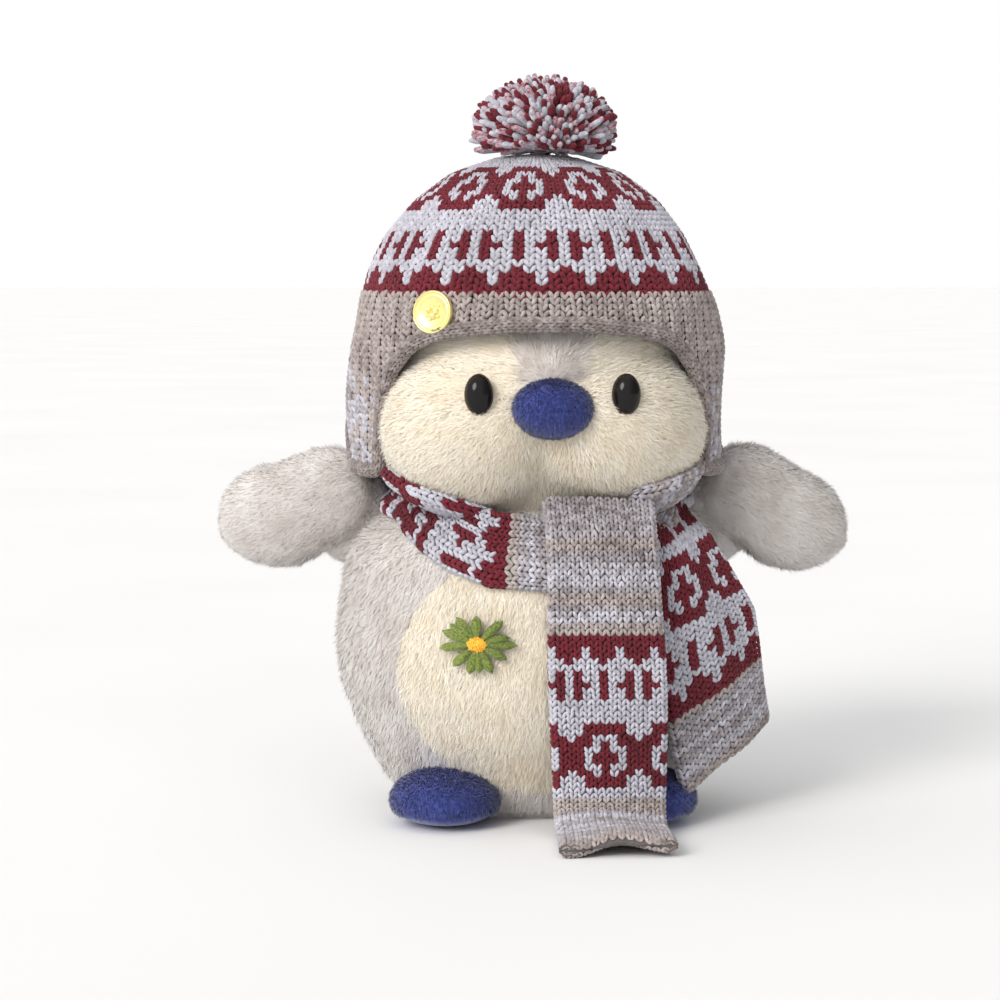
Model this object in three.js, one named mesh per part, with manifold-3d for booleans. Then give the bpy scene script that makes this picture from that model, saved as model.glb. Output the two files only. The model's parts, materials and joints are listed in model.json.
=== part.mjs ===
// Plush penguin with a knitted hat and scarf, in millimetres.
// +Z is up, the penguin faces -Y, and the origin is the centre of its flat base.

import * as THREE from 'three';
import { mergeVertices } from 'three/addons/utils/BufferGeometryUtils.js';
import Module from 'manifold-3d';

const wasm = await Module();
wasm.setup();

// ---- Driving dimensions -------------------------------------------------

const GAP = 0.3;               // clearance between touching pieces
const SKIN = 3;                // fur fabric: backing and packed pile
const KNIT = 4;                // two layers of knitted fabric
const RINGS = 24;              // sides of the large round pieces

const BODY_DEPTH = 0.8;        // depth of the body as a share of its width
const HEAD_DEPTH = 0.93;
const BODY_OUTLINE = [[40, 0], [50, 4], [58, 14], [66, 30], [71.5, 46], [73, 62], [72, 80],
  [68, 93], [62, 101], [48, 104]];
const NECK_RADIUS = 34;        // the opening that joins the body's filling to the head's
const BELLY = { z: 56, halfWidth: 51, halfHeight: 44 };
const BASE_RADIUS = 38;        // the flat panel sewn into the bottom
const PELLETS = { foot: 22, radius: 34, low: 9, high: 18, crown: 20, top: 25 };
const HEAD_OUTLINE = [[42, 106], [46, 116], [50, 126], [56, 137], [59, 150], [59, 168],
  [55.5, 186], [48, 204], [37, 218], [22, 228], [0, 232]];
const CHEEK = { x: 25, y: -33, z: 140, halfWidth: 33, halfDepth: 28, halfHeight: 29 };

const WING_PIVOT_X = 77;
const WING_PIVOT_Z = 114;
const WING_Y = 4;              // the wings sit a little behind the middle of the neck
const WING_ROOT = 18;          // radius of the wing's round root about its hinge
const WING_REACH = 38;         // hinge to wing tip
const WING_FLATNESS = 0.62;
const WING_MOUTH = [8, 5, 8];  // half sizes of the opening at its root, where it is filled and sewn
const WING_DROOP = 19;         // degrees below level at rest
const WING_UP = 18;            // degrees above its rest place that a wing can be lifted
const WING_DOWN = 20;

const HAT_OUTLINE = [[66, 118], [68, 146], [67.5, 168], [63.5, 187], [56.5, 204], [45, 220],
  [30, 231.5], [0, 237]];
const HAT_TOP = 237;
const BAND_TOP = 187;
const BAND_BOTTOM = 176;
const FACE_HALF = 58;          // half width of the face opening
const FLAP_TOP = 172;          // the ear flaps hang below this height
const FLAP_END = 125;          // lowest point of the ear flaps
const BUTTON = { x: -38, z: 181, radius: 7.5, thick: 2.2, lean: 0.19 };
const POMPOM = { z: 253.5, radius: 26, halfHeight: 15.5 };

const EYE = { x: 25.5, y: -57.5, z: 153, halfWidth: 4.7, halfHeight: 6.8, depth: 4.5 };
const EYE_STEM = { radius: 1.6, length: 12 };
const WASHER = { y: -47.4, radius: 6.5, thick: 1.6, hole: 2 };
const WEDGE = { foot: 160, top: 182, halfWidth: 14 };   // grey wedge above the beak
const BEAK = { x: 2, y: -56, z: 148, halfWidth: 15, halfDepth: 14, halfHeight: 10.6 };
const FOOT = { x: 35, y: -39, z: 3, halfWidth: 20, halfDepth: 23, halfHeight: 17 };
const SOLE = 1.9;              // thickness of the sole under a foot
const BEAK_SKIN = 2;
const DAISY = { x: -24, z: 66, off: 2.6, petals: 13, reach: 12.5 };
const CARE_LABEL = { x: -30, y: 53, z: 26, width: 14, height: 22, thick: 0.8 };

const SCARF_WIDTH = 41;
const SCARF_THICK = 4;
const TAIL_X = 20.5;           // the front tail hangs just right of the middle
const TAIL_TOP = 110;
const TAIL_FRONT = -67.5;      // how far forward the front tail hangs
const TAIL_FOLD = 6;           // radius of its fold onto the ground
const TAIL_LAID = 30;          // length lying on the ground

// ---- Small tools --------------------------------------------------------

const turn = (degrees) => THREE.MathUtils.degToRad(degrees);

/** A geometry with its shared corners merged, as a solid that can be cut and joined. */
function solid(geometry) {
  const bare = geometry.clone();
  bare.deleteAttribute('normal');
  bare.deleteAttribute('uv');
  const merged = mergeVertices(bare, 1e-4);
  return new wasm.Manifold(new wasm.Mesh({
    numProp: 3,
    vertProperties: new Float32Array(merged.attributes.position.array),
    triVerts: new Uint32Array(merged.index.array),
  }));
}

/** A cut or joined solid, back as a geometry. */
function geometryOf(body) {
  const mesh = body.getMesh();
  const geometry = new THREE.BufferGeometry();
  geometry.setAttribute('position', new THREE.BufferAttribute(mesh.vertProperties, 3));
  geometry.setIndex(new THREE.BufferAttribute(mesh.triVerts, 1));
  return geometry;
}

/** The largest separate body of a cut solid, without the slivers that the cuts leave. */
const largest = (body) => body.decompose().sort((a, b) => b.volume() - a.volume())[0];

/** A closed solid of revolution about Z through [radius, height] points, scaled in depth. */
function turned(points, depth = 1, sides = RINGS) {
  const outline = [...points];
  if (outline[0][0] > 0) outline.unshift([0, outline[0][1]]);
  if (outline.at(-1)[0] > 0) outline.push([0, outline.at(-1)[1]]);
  const geometry = new THREE.LatheGeometry(outline.map(([r, z]) => new THREE.Vector2(r, z)), sides);
  return solid(geometry.rotateX(Math.PI / 2).scale(1, depth, 1));
}

/** A prism of an outline drawn in X and Z, running along Y from y0 to y1. */
function prism(shape, y0, y1, curveSegments = 12) {
  const geometry = new THREE.ExtrudeGeometry(shape, { depth: y1 - y0, bevelEnabled: false, curveSegments });
  return solid(geometry.rotateX(Math.PI / 2).translate(0, y1, 0));
}

/** A prism of an outline drawn in Y and Z, running along X from x0 to x1. */
function sidePrism(shape, x0, x1) {
  const geometry = new THREE.ExtrudeGeometry(shape, { depth: x1 - x0, bevelEnabled: false });
  return solid(geometry.rotateX(Math.PI / 2).rotateZ(Math.PI / 2).translate(x0, 0, 0));
}

/** A solid ellipsoid with its half sizes. */
function ellipsoid(x, y, z, a, b, c, sides = 14) {
  const ball = new THREE.SphereGeometry(1, sides, Math.round(sides / 2)).rotateX(Math.PI / 2);
  return solid(ball.scale(a, b, c).translate(x, y, z));
}

/** A box whose points are carried to new places by bend(u, v, w), each from -1 to 1. */
function bentBox(steps, across, bend) {
  const box = new THREE.BoxGeometry(2, 2, 2, steps, across, 1);
  const place = box.attributes.position;
  for (let i = 0; i < place.count; i += 1) {
    const point = bend(place.getX(i), place.getY(i), place.getZ(i));
    place.setXYZ(i, point.x, point.y, point.z);
  }
  return solid(box);
}

/** The value at x on straight lines through [x, value] points. */
function along(points, x) {
  const last = points.length - 1;
  if (x <= points[0][0]) return points[0][1];
  if (x >= points[last][0]) return points[last][1];
  const i = points.findIndex(([edge]) => edge > x);
  const [x0, y0] = points[i - 1];
  const [x1, y1] = points[i];
  return y0 + ((y1 - y0) * (x - x0)) / (x1 - x0);
}

const SIDES = { left: -1, right: 1 };
const FAR = 200;               // reaches past the toy on every side

const penguin = new THREE.Group();

/** Adds one named piece with its own material. */
function piece(name, body, color, roughness = 0.95, metalness = 0) {
  const material = new THREE.MeshStandardMaterial({ color, roughness, metalness });
  const mesh = new THREE.Mesh(geometryOf(body), material);
  mesh.name = name;
  penguin.add(mesh);
  return mesh;
}

const COLOUR = {
  greyFur: 0xcfc8c2, creamFur: 0xf3ead8, bluePlush: 0x3f4a8f, fibre: 0xf4f4f2, yarnGrey: 0xa9a29f,
  yarnWhite: 0xdcdce4, burgundy: 0x6d1f2b, gold: 0xe4d288, black: 0x0a0a0c, washer: 0xe8e8e6,
  petal: 0x7d8f37, flowerHeart: 0xe0a126, label: 0xf5f3ee, pellets: 0xd8d8d4,
};

// ---- Wings: round root, so the wing turns in its own socket -------------

/** The wing as a spindle along +X from its hinge, laid at the rest droop on one side. */
function wingSolid(side, shrink) {
  const root = WING_ROOT - shrink;
  const tip = WING_REACH - shrink;
  const outline = [];
  for (let i = 0; i <= 4; i += 1) {
    const angle = Math.PI - (i * Math.PI) / 8;
    outline.push(new THREE.Vector2(root * Math.sin(angle), root * Math.cos(angle)));
  }
  outline.push(new THREE.Vector2(root * 1.03, tip * 0.3));
  outline.push(new THREE.Vector2(root * 0.97, tip * 0.62));
  outline.push(new THREE.Vector2(root * 0.78, tip * 0.86));
  outline.push(new THREE.Vector2(root * 0.42, tip * 0.97));
  outline.push(new THREE.Vector2(0, tip));
  const geometry = new THREE.LatheGeometry(outline, 12)
    .rotateZ(-Math.PI / 2)
    .scale(1, 1, WING_FLATNESS)
    .rotateX(Math.PI / 2)
    .rotateY(turn(WING_DROOP));
  if (side < 0) geometry.rotateZ(Math.PI);
  return solid(geometry.translate(side * WING_PIVOT_X, WING_Y, WING_PIVOT_Z));
}

const SLOT_GAP = 0.8;
const SLOT_REACH = 60;         // how far out the slot's straight sides run

/** The space that a wing sweeps between its limits, cut out of the body beside it. */
function wingSlot(side) {
  const radius = WING_ROOT + SLOT_GAP;
  const start = 90 + WING_UP - WING_DROOP;
  const end = 270 - WING_DROOP - WING_DOWN;
  const shape = new THREE.Shape();
  const steps = 6;
  const at = (angle, reach) => [
    side * (WING_PIVOT_X + radius * Math.cos(turn(angle)) + reach * Math.cos(turn(angle + 90))),
    WING_PIVOT_Z + radius * Math.sin(turn(angle)) + reach * Math.sin(turn(angle + 90)),
  ];
  shape.moveTo(...at(start, -SLOT_REACH));
  for (let i = 0; i <= steps; i += 1) {
    shape.lineTo(...at(start + ((end - start) * i) / steps, 0));
  }
  shape.lineTo(...at(end, SLOT_REACH));
  const half = WING_ROOT * WING_FLATNESS + SLOT_GAP;
  return prism(shape, WING_Y - half, WING_Y + half);
}

for (const [name, side] of Object.entries(SIDES)) {
  const outer = wingSolid(side, 0);
  const inner = wingSolid(side, SKIN);
  const mouth = ellipsoid(side * (WING_PIVOT_X - WING_ROOT), WING_Y, WING_PIVOT_Z, ...WING_MOUTH, 16);
  piece(`wing_${name}`, outer.subtract(inner).subtract(mouth), COLOUR.greyFur);
  piece(`wing_stuffing_${name}`, wingSolid(side, SKIN + GAP), COLOUR.fibre);
}
const wingSlots = wingSlot(-1).add(wingSlot(1));

// ---- Body ---------------------------------------------------------------

const bodyOuter = turned(BODY_OUTLINE, BODY_DEPTH);

/** The space inside the body skin, shrunk a little more for the filling. */
function bodyInside(extra) {
  const wall = SKIN + extra;
  const top = BODY_OUTLINE.at(-1)[1] - wall;
  return turned(BODY_OUTLINE.map(([r, z]) => [r - wall, Math.min(Math.max(z, wall), top)]), BODY_DEPTH);
}

/** The oval outline of the belly panel, grown by a clearance. */
function bellyPrism(grow) {
  const shape = new THREE.Shape();
  shape.absellipse(0, BELLY.z, BELLY.halfWidth + grow, BELLY.halfHeight + grow, 0, 2 * Math.PI);
  return prism(shape, -FAR, -8, 8);
}

const bodyWall = bodyOuter.subtract(bodyInside(0));
const neckHole = turned([[NECK_RADIUS, 95], [NECK_RADIUS, 120]], BODY_DEPTH, 24);
const basePlate = (radius, z0, z1) => turned([[radius, z0], [radius, z1]], BODY_DEPTH);

piece('body_skin', bodyWall.subtract(neckHole).subtract(bellyPrism(GAP))
  .subtract(wingSlots).subtract(basePlate(BASE_RADIUS + GAP, -1, SKIN + 1)), COLOUR.greyFur);
piece('belly_panel', bodyWall.intersect(bellyPrism(0)), COLOUR.creamFur);
piece('base_panel', basePlate(BASE_RADIUS, 0, SKIN - GAP), COLOUR.greyFur);

/** The bag of pellets that weighs the seat down, or the room for it, open below. */
const pelletBag = (foot, grow) => turned([
  [foot, SKIN + GAP - grow],
  [PELLETS.radius + grow, PELLETS.low],
  [PELLETS.radius + grow, PELLETS.high],
  [PELLETS.crown + Math.min(grow, GAP), PELLETS.top + Math.min(grow, GAP)],
], BODY_DEPTH, 24);
const bagRoom = pelletBag(PELLETS.radius + GAP, 2);
piece('pellet_bag', pelletBag(PELLETS.foot, 0), COLOUR.pellets);
piece('body_stuffing', bodyInside(GAP).subtract(bagRoom).subtract(wingSlots), COLOUR.fibre);

// ---- Feet ---------------------------------------------------------------

const above = (z) => prism(new THREE.Shape([
  new THREE.Vector2(-FAR, z), new THREE.Vector2(FAR, z),
  new THREE.Vector2(FAR, 2 * FAR), new THREE.Vector2(-FAR, 2 * FAR)]), -FAR, FAR);
const bodyClear = bodyOuter.scale([1.008, 1.008, 1]);

/** One foot's rounded form, shrunk by a wall. */
const footForm = (side, shrink) => ellipsoid(side * FOOT.x, FOOT.y, FOOT.z,
  FOOT.halfWidth - shrink, FOOT.halfDepth - shrink, FOOT.halfHeight - shrink);

for (const [name, side] of Object.entries(SIDES)) {
  const foot = footForm(side, 0).subtract(bodyClear);
  const filling = footForm(side, SKIN + GAP).subtract(bodyOuter.scale([1.015, 1.015, 1]));
  const skin = foot.intersect(above(SOLE + GAP)).subtract(footForm(side, SKIN));
  piece(`foot_${name}`, skin, COLOUR.bluePlush);
  piece(`sole_${name}`, foot.intersect(above(0)).subtract(above(SOLE)), COLOUR.bluePlush);
  piece(`foot_stuffing_${name}`, filling.intersect(above(SOLE + 2 * GAP)), COLOUR.fibre);
}

// ---- Head ---------------------------------------------------------------

/** The head with its two full cheeks, shrunk by a wall. */
function headForm(shrink) {
  const base = HEAD_OUTLINE[0][1];
  const skull = turned(HEAD_OUTLINE.map(([r, z]) => (
    r === 0 ? [0, z - shrink] : [r - shrink, Math.max(z, base + shrink)])), HEAD_DEPTH);
  const cheeks = Object.values(SIDES).map((side) => ellipsoid(side * CHEEK.x, CHEEK.y, CHEEK.z,
    CHEEK.halfWidth - shrink, CHEEK.halfDepth - shrink, CHEEK.halfHeight - shrink, 14));
  return skull.add(cheeks[0]).add(cheeks[1]);
}

/** One cheek panel's outline: straight at the middle seam, round outside, shrunk by a gap. */
function cheekPrism(side, gap) {
  const shape = new THREE.Shape();
  const outside = (x) => side * (x - gap);
  shape.moveTo(side * gap, 90);
  shape.lineTo(side * gap, WEDGE.foot);
  shape.lineTo(side * (WEDGE.halfWidth + gap), WEDGE.top - gap);
  shape.quadraticCurveTo(outside(55), WEDGE.top + 2 - gap, outside(56.5), 150);
  shape.quadraticCurveTo(outside(58), 118, outside(44), 90);
  return prism(shape, -FAR, -10, 8);
}

/** The grey wedge that runs up from the beak between the cheek panels. */
function foreheadPrism(gap) {
  const shape = new THREE.Shape();
  shape.moveTo(0, WEDGE.foot + 2 * gap);
  shape.lineTo(WEDGE.halfWidth - gap, WEDGE.top - gap);
  shape.lineTo(-WEDGE.halfWidth + gap, WEDGE.top - gap);
  return prism(shape, -FAR, -10);
}

/** The eye: an oval dome outside the fur, with a stem that goes through it. */
function eyeSolid(side, grow) {
  const dome = ellipsoid(side * EYE.x, EYE.y, EYE.z, EYE.halfWidth + grow, EYE.depth + grow,
    EYE.halfHeight + grow, 12);
  const radius = EYE_STEM.radius + grow;
  const stem = new THREE.CylinderGeometry(radius, radius, EYE_STEM.length, 8);
  return dome.add(solid(stem.translate(side * EYE.x, EYE.y + EYE_STEM.length / 2, EYE.z)));
}

/** A disc along Y, centred behind an eye at this depth. */
const behindEye = (side, radius, thick, y, sides = 12) => solid(
  new THREE.CylinderGeometry(radius, radius, thick, sides).translate(side * EYE.x, y, EYE.z));

const headOuter = headForm(0);
const headWall = headOuter.subtract(headForm(SKIN));
const headNeck = turned([[NECK_RADIUS, 98], [NECK_RADIUS, 114]], BODY_DEPTH, 24);
const faceCut = cheekPrism(-1, -GAP).add(cheekPrism(1, -GAP)).add(foreheadPrism(-GAP));
let headFilling = headForm(SKIN + GAP);

for (const [name, side] of Object.entries(SIDES)) {
  piece(`cheek_panel_${name}`, headWall.intersect(cheekPrism(side, 0.15))
    .subtract(eyeSolid(side, GAP)).subtract(headNeck), COLOUR.creamFur);
  piece(`eye_${name}`, eyeSolid(side, 0), COLOUR.black, 0.08);
  const stemHole = behindEye(side, WASHER.hole, 6, WASHER.y, 8);
  piece(`eye_washer_${name}`, behindEye(side, WASHER.radius, WASHER.thick, WASHER.y).subtract(stemHole),
    COLOUR.washer, 0.4);
  headFilling = headFilling.subtract(behindEye(side, WASHER.radius + 0.5, 16, -52));
}
piece('forehead_gusset', headWall.intersect(foreheadPrism(0.15)), COLOUR.greyFur);
piece('head_skin', largest(headWall.subtract(faceCut).subtract(headNeck)), COLOUR.greyFur);
piece('head_stuffing', headFilling, COLOUR.fibre);

/** The padded beak, shrunk by a wall and cut off flush with the face. */
const beakForm = (shrink, face) => ellipsoid(BEAK.x, BEAK.y, BEAK.z, BEAK.halfWidth - shrink,
  BEAK.halfDepth - shrink, BEAK.halfHeight - shrink).subtract(face);
const hollow = ellipsoid(BEAK.x, BEAK.y, BEAK.z, BEAK.halfWidth - BEAK_SKIN,
  BEAK.halfDepth - BEAK_SKIN, BEAK.halfHeight - BEAK_SKIN);
piece('beak', beakForm(0, headForm(-GAP)).subtract(hollow), COLOUR.bluePlush);
piece('beak_stuffing', beakForm(BEAK_SKIN + GAP, headForm(-2 * GAP)), COLOUR.fibre);

// ---- Daisy on the belly -------------------------------------------------

const bodyRadius = (z) => along(BODY_OUTLINE.map(([r, height]) => [height, r]), z);

/** A point on the front of the body, some way off its surface, and its turn about Z. */
function onBelly(x, z, off) {
  const r = bodyRadius(z);
  const y = -BODY_DEPTH * Math.sqrt(r * r - x * x);
  const yaw = Math.atan2(x * BODY_DEPTH ** 2, -y);
  return { x: x + off * Math.sin(yaw), y: y - off * Math.cos(yaw), z, yaw };
}

/** Carries a flat piece drawn in X and Z, facing -Y, to its place on the belly. */
function layOnBelly(geometry, x, z, off) {
  const spot = onBelly(x, z, off);
  return solid(geometry.rotateZ(spot.yaw).translate(spot.x, spot.y, spot.z));
}

let petals = layOnBelly(new THREE.SphereGeometry(1, 8, 4).scale(4.5, 0.7, 3.4),
  DAISY.x, DAISY.z, DAISY.off);
for (let i = 0; i < DAISY.petals; i += 1) {
  const petal = new THREE.SphereGeometry(1, 4, 4).scale(2, 0.9, 5)
    .translate(0, 0, DAISY.reach - 5)
    .rotateY((i * 2 * Math.PI) / DAISY.petals)
    .scale(1, 1, 0.8);
  petals = petals.add(layOnBelly(petal, DAISY.x, DAISY.z, DAISY.off));
}
const heart = (grow) => layOnBelly(new THREE.SphereGeometry(1, 8, 6)
  .scale(3.6 + grow, 1.1 + grow, 2.8 + grow), DAISY.x, DAISY.z, DAISY.off + 1.4);
piece('daisy_petals', petals.subtract(heart(GAP)), COLOUR.petal);
piece('daisy_centre', heart(0), COLOUR.flowerHeart);

// ---- Care label in the back seam ----------------------------------------

const label = new THREE.BoxGeometry(CARE_LABEL.width, CARE_LABEL.thick, CARE_LABEL.height)
  .translate(CARE_LABEL.x, CARE_LABEL.y, CARE_LABEL.z);
piece('care_label', solid(label), COLOUR.label);

// ---- Hat: crown, ribbed band and ear flaps ------------------------------

const HAT_INSIDE = HAT_OUTLINE.map(([r, z]) => (r === 0 ? [0, z - KNIT] : [r - KNIT, z]));
const hatWall = turned(HAT_OUTLINE, HEAD_DEPTH, 30)
  .subtract(turned([[HAT_INSIDE[0][0], 110], ...HAT_INSIDE], HEAD_DEPTH, 30));

/** The face opening: upright sides and a low arch over the forehead. */
function faceOpening() {
  const shape = new THREE.Shape();
  shape.moveTo(-FACE_HALF, 100);
  shape.lineTo(FACE_HALF, 100);
  shape.lineTo(FACE_HALF, 150);
  shape.quadraticCurveTo(FACE_HALF - 2, BAND_BOTTOM - 2, 24, BAND_BOTTOM);
  shape.lineTo(-24, BAND_BOTTOM);
  shape.quadraticCurveTo(-FACE_HALF + 2, BAND_BOTTOM - 2, -FACE_HALF, 150);
  return prism(shape, -FAR, -6, 8);
}

/** Everything below the hat's hem, which rises from the flaps to the nape. */
function belowHem() {
  const shape = new THREE.Shape();
  shape.moveTo(-FAR, 90);
  shape.lineTo(FAR, 90);
  shape.lineTo(FAR, 162);
  shape.lineTo(50, 162);
  shape.quadraticCurveTo(28, 158, 18, 145);
  shape.quadraticCurveTo(4, FLAP_END + 1, -12, FLAP_END);
  shape.lineTo(-FAR, FLAP_END);
  return sidePrism(shape, -FAR, FAR);
}

const hatLower = hatWall.subtract(faceOpening()).subtract(belowHem());

/** The button's turn about Z and its place on the outside of the band. */
function buttonSpot(off) {
  const r = along(HAT_OUTLINE.map(([radius, z]) => [z, radius]), BUTTON.z);
  const y = -HEAD_DEPTH * Math.sqrt(r * r - BUTTON.x ** 2);
  const yaw = Math.atan2(BUTTON.x * HEAD_DEPTH ** 2, -y);
  return { x: BUTTON.x + off * Math.sin(yaw), y: y - off * Math.cos(yaw), yaw };
}

/** A piece turned about its own axis and set on the band where the button is. */
function atButton(points, off) {
  const spot = buttonSpot(off);
  return solid(new THREE.LatheGeometry(points.map(([r, h]) => new THREE.Vector2(r, h)), 16)
    .rotateX(Math.PI - BUTTON.lean)
    .rotateZ(spot.yaw)
    .translate(spot.x, spot.y, BUTTON.z));
}

const shank = 1.4;
const buttonOutline = [[0, -KNIT + 1], [shank, -KNIT + 1], [shank, 0], [BUTTON.radius - 0.6, 0],
  [BUTTON.radius, 0.6], [BUTTON.radius, BUTTON.thick], [BUTTON.radius - 0.8, BUTTON.thick + 0.5],
  [BUTTON.radius - 1.6, BUTTON.thick], [0, BUTTON.thick]];
const shankHole = atButton([[0, -KNIT - 6], [shank + GAP, -KNIT - 6], [shank + GAP, 4], [0, 4]], 0);

piece('hat_crown', hatWall.intersect(above(BAND_TOP)), COLOUR.burgundy);
piece('hat_band', hatLower.intersect(above(FLAP_TOP)).subtract(above(BAND_TOP - GAP))
  .subtract(shankHole), COLOUR.yarnGrey);
piece('hat_button', atButton(buttonOutline, 0.9), COLOUR.gold, 0.35, 0.8);

const flaps = hatLower.subtract(above(FLAP_TOP - GAP));
for (const [name, side] of Object.entries(SIDES)) {
  const half = new THREE.BoxGeometry(FAR, 2 * FAR, 2 * FAR).translate(side * (FAR / 2 + GAP / 2), 0, 0);
  piece(`ear_flap_${name}`, flaps.intersect(solid(half)), COLOUR.yarnGrey);
}

// ---- Pompom and its tie -------------------------------------------------

const tieRadius = 2.6;
const tieBottom = HAT_TOP + 1.6;
const tieHeight = 14;
const upright = (radius, height, z) => solid(new THREE.CylinderGeometry(radius, radius, height, 16)
  .rotateX(Math.PI / 2).translate(0, 0, z + height / 2));
piece('pompom', ellipsoid(0, 0, POMPOM.z, POMPOM.radius, POMPOM.radius, POMPOM.halfHeight, 16)
  .subtract(upright(tieRadius + GAP, tieHeight + GAP + 4, tieBottom - 4)), COLOUR.burgundy);
piece('pompom_tie', upright(tieRadius, tieHeight, tieBottom), COLOUR.yarnWhite);

// ---- Scarf --------------------------------------------------------------

const scarfHalf = SCARF_THICK / 2;
const headRadius = (z) => along(HEAD_OUTLINE.map(([r, height]) => [height, r]), z);

/** How far out of the axis an oval of this half width reaches at an angle from the front. */
const ovalReach = (half, depth, angle) => (
  (half * depth) / Math.hypot(depth * Math.sin(angle), Math.cos(angle)));

/** How far out the scarf has to lie to clear the body, the head and the neck crease. */
function scarfReach(angle, z) {
  const bodyTop = BODY_OUTLINE.at(-1)[1];
  const body = z <= bodyTop ? ovalReach(bodyRadius(z), BODY_DEPTH, angle) : 0;
  const head = z >= HEAD_OUTLINE[0][1] ? ovalReach(headRadius(z), HEAD_DEPTH, angle) : 0;
  return Math.max(body, head, ovalReach(50, 0.9, angle));
}

/** The wrap's middle height: low on the chest, in the crease at the sides, high at the nape. */
function wrapHeight(angle) {
  const round = Math.abs(THREE.MathUtils.euclideanModulo(turn(angle) + Math.PI, 2 * Math.PI) - Math.PI);
  return along([[0, 97], [0.5, 100], [1.1, 109], [1.6, 116], [Math.PI, 119]], round);
}

const WRAP_START = 30;         // degrees round from the front, at the right of the middle
const WRAP_END = 372;
const wrap = bentBox(36, 2, (u, v, w) => {
  const angle = WRAP_START + ((WRAP_END - WRAP_START) * (u + 1)) / 2;
  const half = along([[300, 10.5], [360, 13]], angle);
  const z = wrapHeight(angle) + half * v + along([[30, 4], [90, 0]], angle);
  const reach = scarfReach(turn(angle), z) + 1.1 + scarfHalf * (1 + w);
  return { x: reach * Math.sin(turn(angle)), y: -reach * Math.cos(turn(angle)), z };
});
piece('scarf_wrap', largest(wrap.subtract(headForm(-GAP)).subtract(bodyClear)), COLOUR.yarnGrey);

/** The front tail: from under the chin, over the chest and straight down to its fold. */
const tailFold = TAIL_FOLD + scarfHalf;
const tailEnd = tailFold + scarfHalf;
const tailLine = (z) => along([[tailEnd, TAIL_FRONT], [86, TAIL_FRONT + 1], [TAIL_TOP, -61.5]], z);
const frontTail = bentBox(12, 2, (u, v, w) => {
  const z = tailEnd + ((TAIL_TOP - tailEnd) * (1 - u)) / 2;
  return { x: TAIL_X + (v * SCARF_WIDTH) / 2, y: tailLine(z) - scarfHalf * w, z };
});
piece('scarf_front_tail', frontTail, COLOUR.yarnGrey);

/** Its end: a quarter turn at the ground, then flat along it. */
const bendLength = (tailFold * Math.PI) / 2;
const laidLength = bendLength + TAIL_LAID;
const frontEnd = bentBox(12, 2, (u, v, w) => {
  const run = GAP + ((laidLength - GAP) * (u + 1)) / 2;
  const angle = Math.min(run, bendLength) / tailFold;
  const centre = TAIL_FRONT - tailFold;
  const radius = tailFold - scarfHalf * w;
  const past = Math.max(run - bendLength, 0);
  return {
    x: TAIL_X + (v * SCARF_WIDTH) / 2,
    y: centre + radius * Math.cos(angle) - past,
    z: tailEnd - radius * Math.sin(angle),
  };
});
piece('scarf_front_end', frontEnd, COLOUR.yarnGrey);

/** The side tail: it leaves from under the front tail, lies on the body and hangs below its girth. */
const SIDE_TAIL = { x: 33, z: 84, length: 74, lean: 25 };
const GIRTH_Z = 62;
const leanSin = Math.sin(turn(SIDE_TAIL.lean));
const leanCos = Math.cos(turn(SIDE_TAIL.lean));
const sideTail = bentBox(12, 2, (u, v, w) => {
  const run = (SIDE_TAIL.length * (u + 1)) / 2;
  const acrossTail = (v * SCARF_WIDTH) / 2;
  const x = SIDE_TAIL.x + run * leanSin + acrossTail * leanCos;
  const z = SIDE_TAIL.z - run * leanCos + acrossTail * leanSin;
  const touching = Math.min(run, (SIDE_TAIL.z + acrossTail * leanSin - GIRTH_Z) / leanCos);
  const level = Math.abs(SIDE_TAIL.x + touching * leanSin + acrossTail * leanCos);
  const r = bodyRadius(Math.max(z, GIRTH_Z));
  const skin = BODY_DEPTH * Math.sqrt(Math.max(r * r - level * level, 400));
  return { x, y: -(skin + 2.2 + scarfHalf * (1 + w)), z };
});
piece('scarf_side_tail', sideTail, COLOUR.yarnGrey);

export default penguin;
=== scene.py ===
"""Plush penguin: fur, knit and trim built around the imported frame. Metres, +Z up, facing -Y."""
import json
import math

import bpy
import numpy as np
from mathutils import Matrix, Vector
from mathutils.kdtree import KDTree


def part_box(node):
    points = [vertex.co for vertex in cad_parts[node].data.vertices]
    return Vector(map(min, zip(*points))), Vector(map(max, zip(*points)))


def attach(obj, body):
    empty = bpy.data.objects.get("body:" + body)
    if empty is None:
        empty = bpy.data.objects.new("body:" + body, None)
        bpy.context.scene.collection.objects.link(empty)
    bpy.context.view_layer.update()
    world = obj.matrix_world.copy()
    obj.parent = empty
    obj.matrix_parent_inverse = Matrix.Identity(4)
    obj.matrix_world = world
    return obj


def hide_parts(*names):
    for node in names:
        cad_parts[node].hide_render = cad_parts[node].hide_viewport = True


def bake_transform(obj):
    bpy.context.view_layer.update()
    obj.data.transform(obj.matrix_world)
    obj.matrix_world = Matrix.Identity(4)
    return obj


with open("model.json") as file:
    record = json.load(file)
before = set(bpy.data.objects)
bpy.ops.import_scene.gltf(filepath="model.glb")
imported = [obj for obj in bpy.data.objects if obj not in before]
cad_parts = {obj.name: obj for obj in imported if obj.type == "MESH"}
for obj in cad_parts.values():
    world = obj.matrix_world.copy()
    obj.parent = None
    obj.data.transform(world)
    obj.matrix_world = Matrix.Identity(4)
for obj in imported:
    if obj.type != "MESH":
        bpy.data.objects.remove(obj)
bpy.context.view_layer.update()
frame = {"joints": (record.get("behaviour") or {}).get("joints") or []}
rng = np.random.default_rng(11)

MM = 0.001
TAU = 2 * math.pi
UP = np.array([0.0, 0.0, 1.0])


# ---- Sizes, taken from the frame ----------------------------------------------------------------

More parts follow.
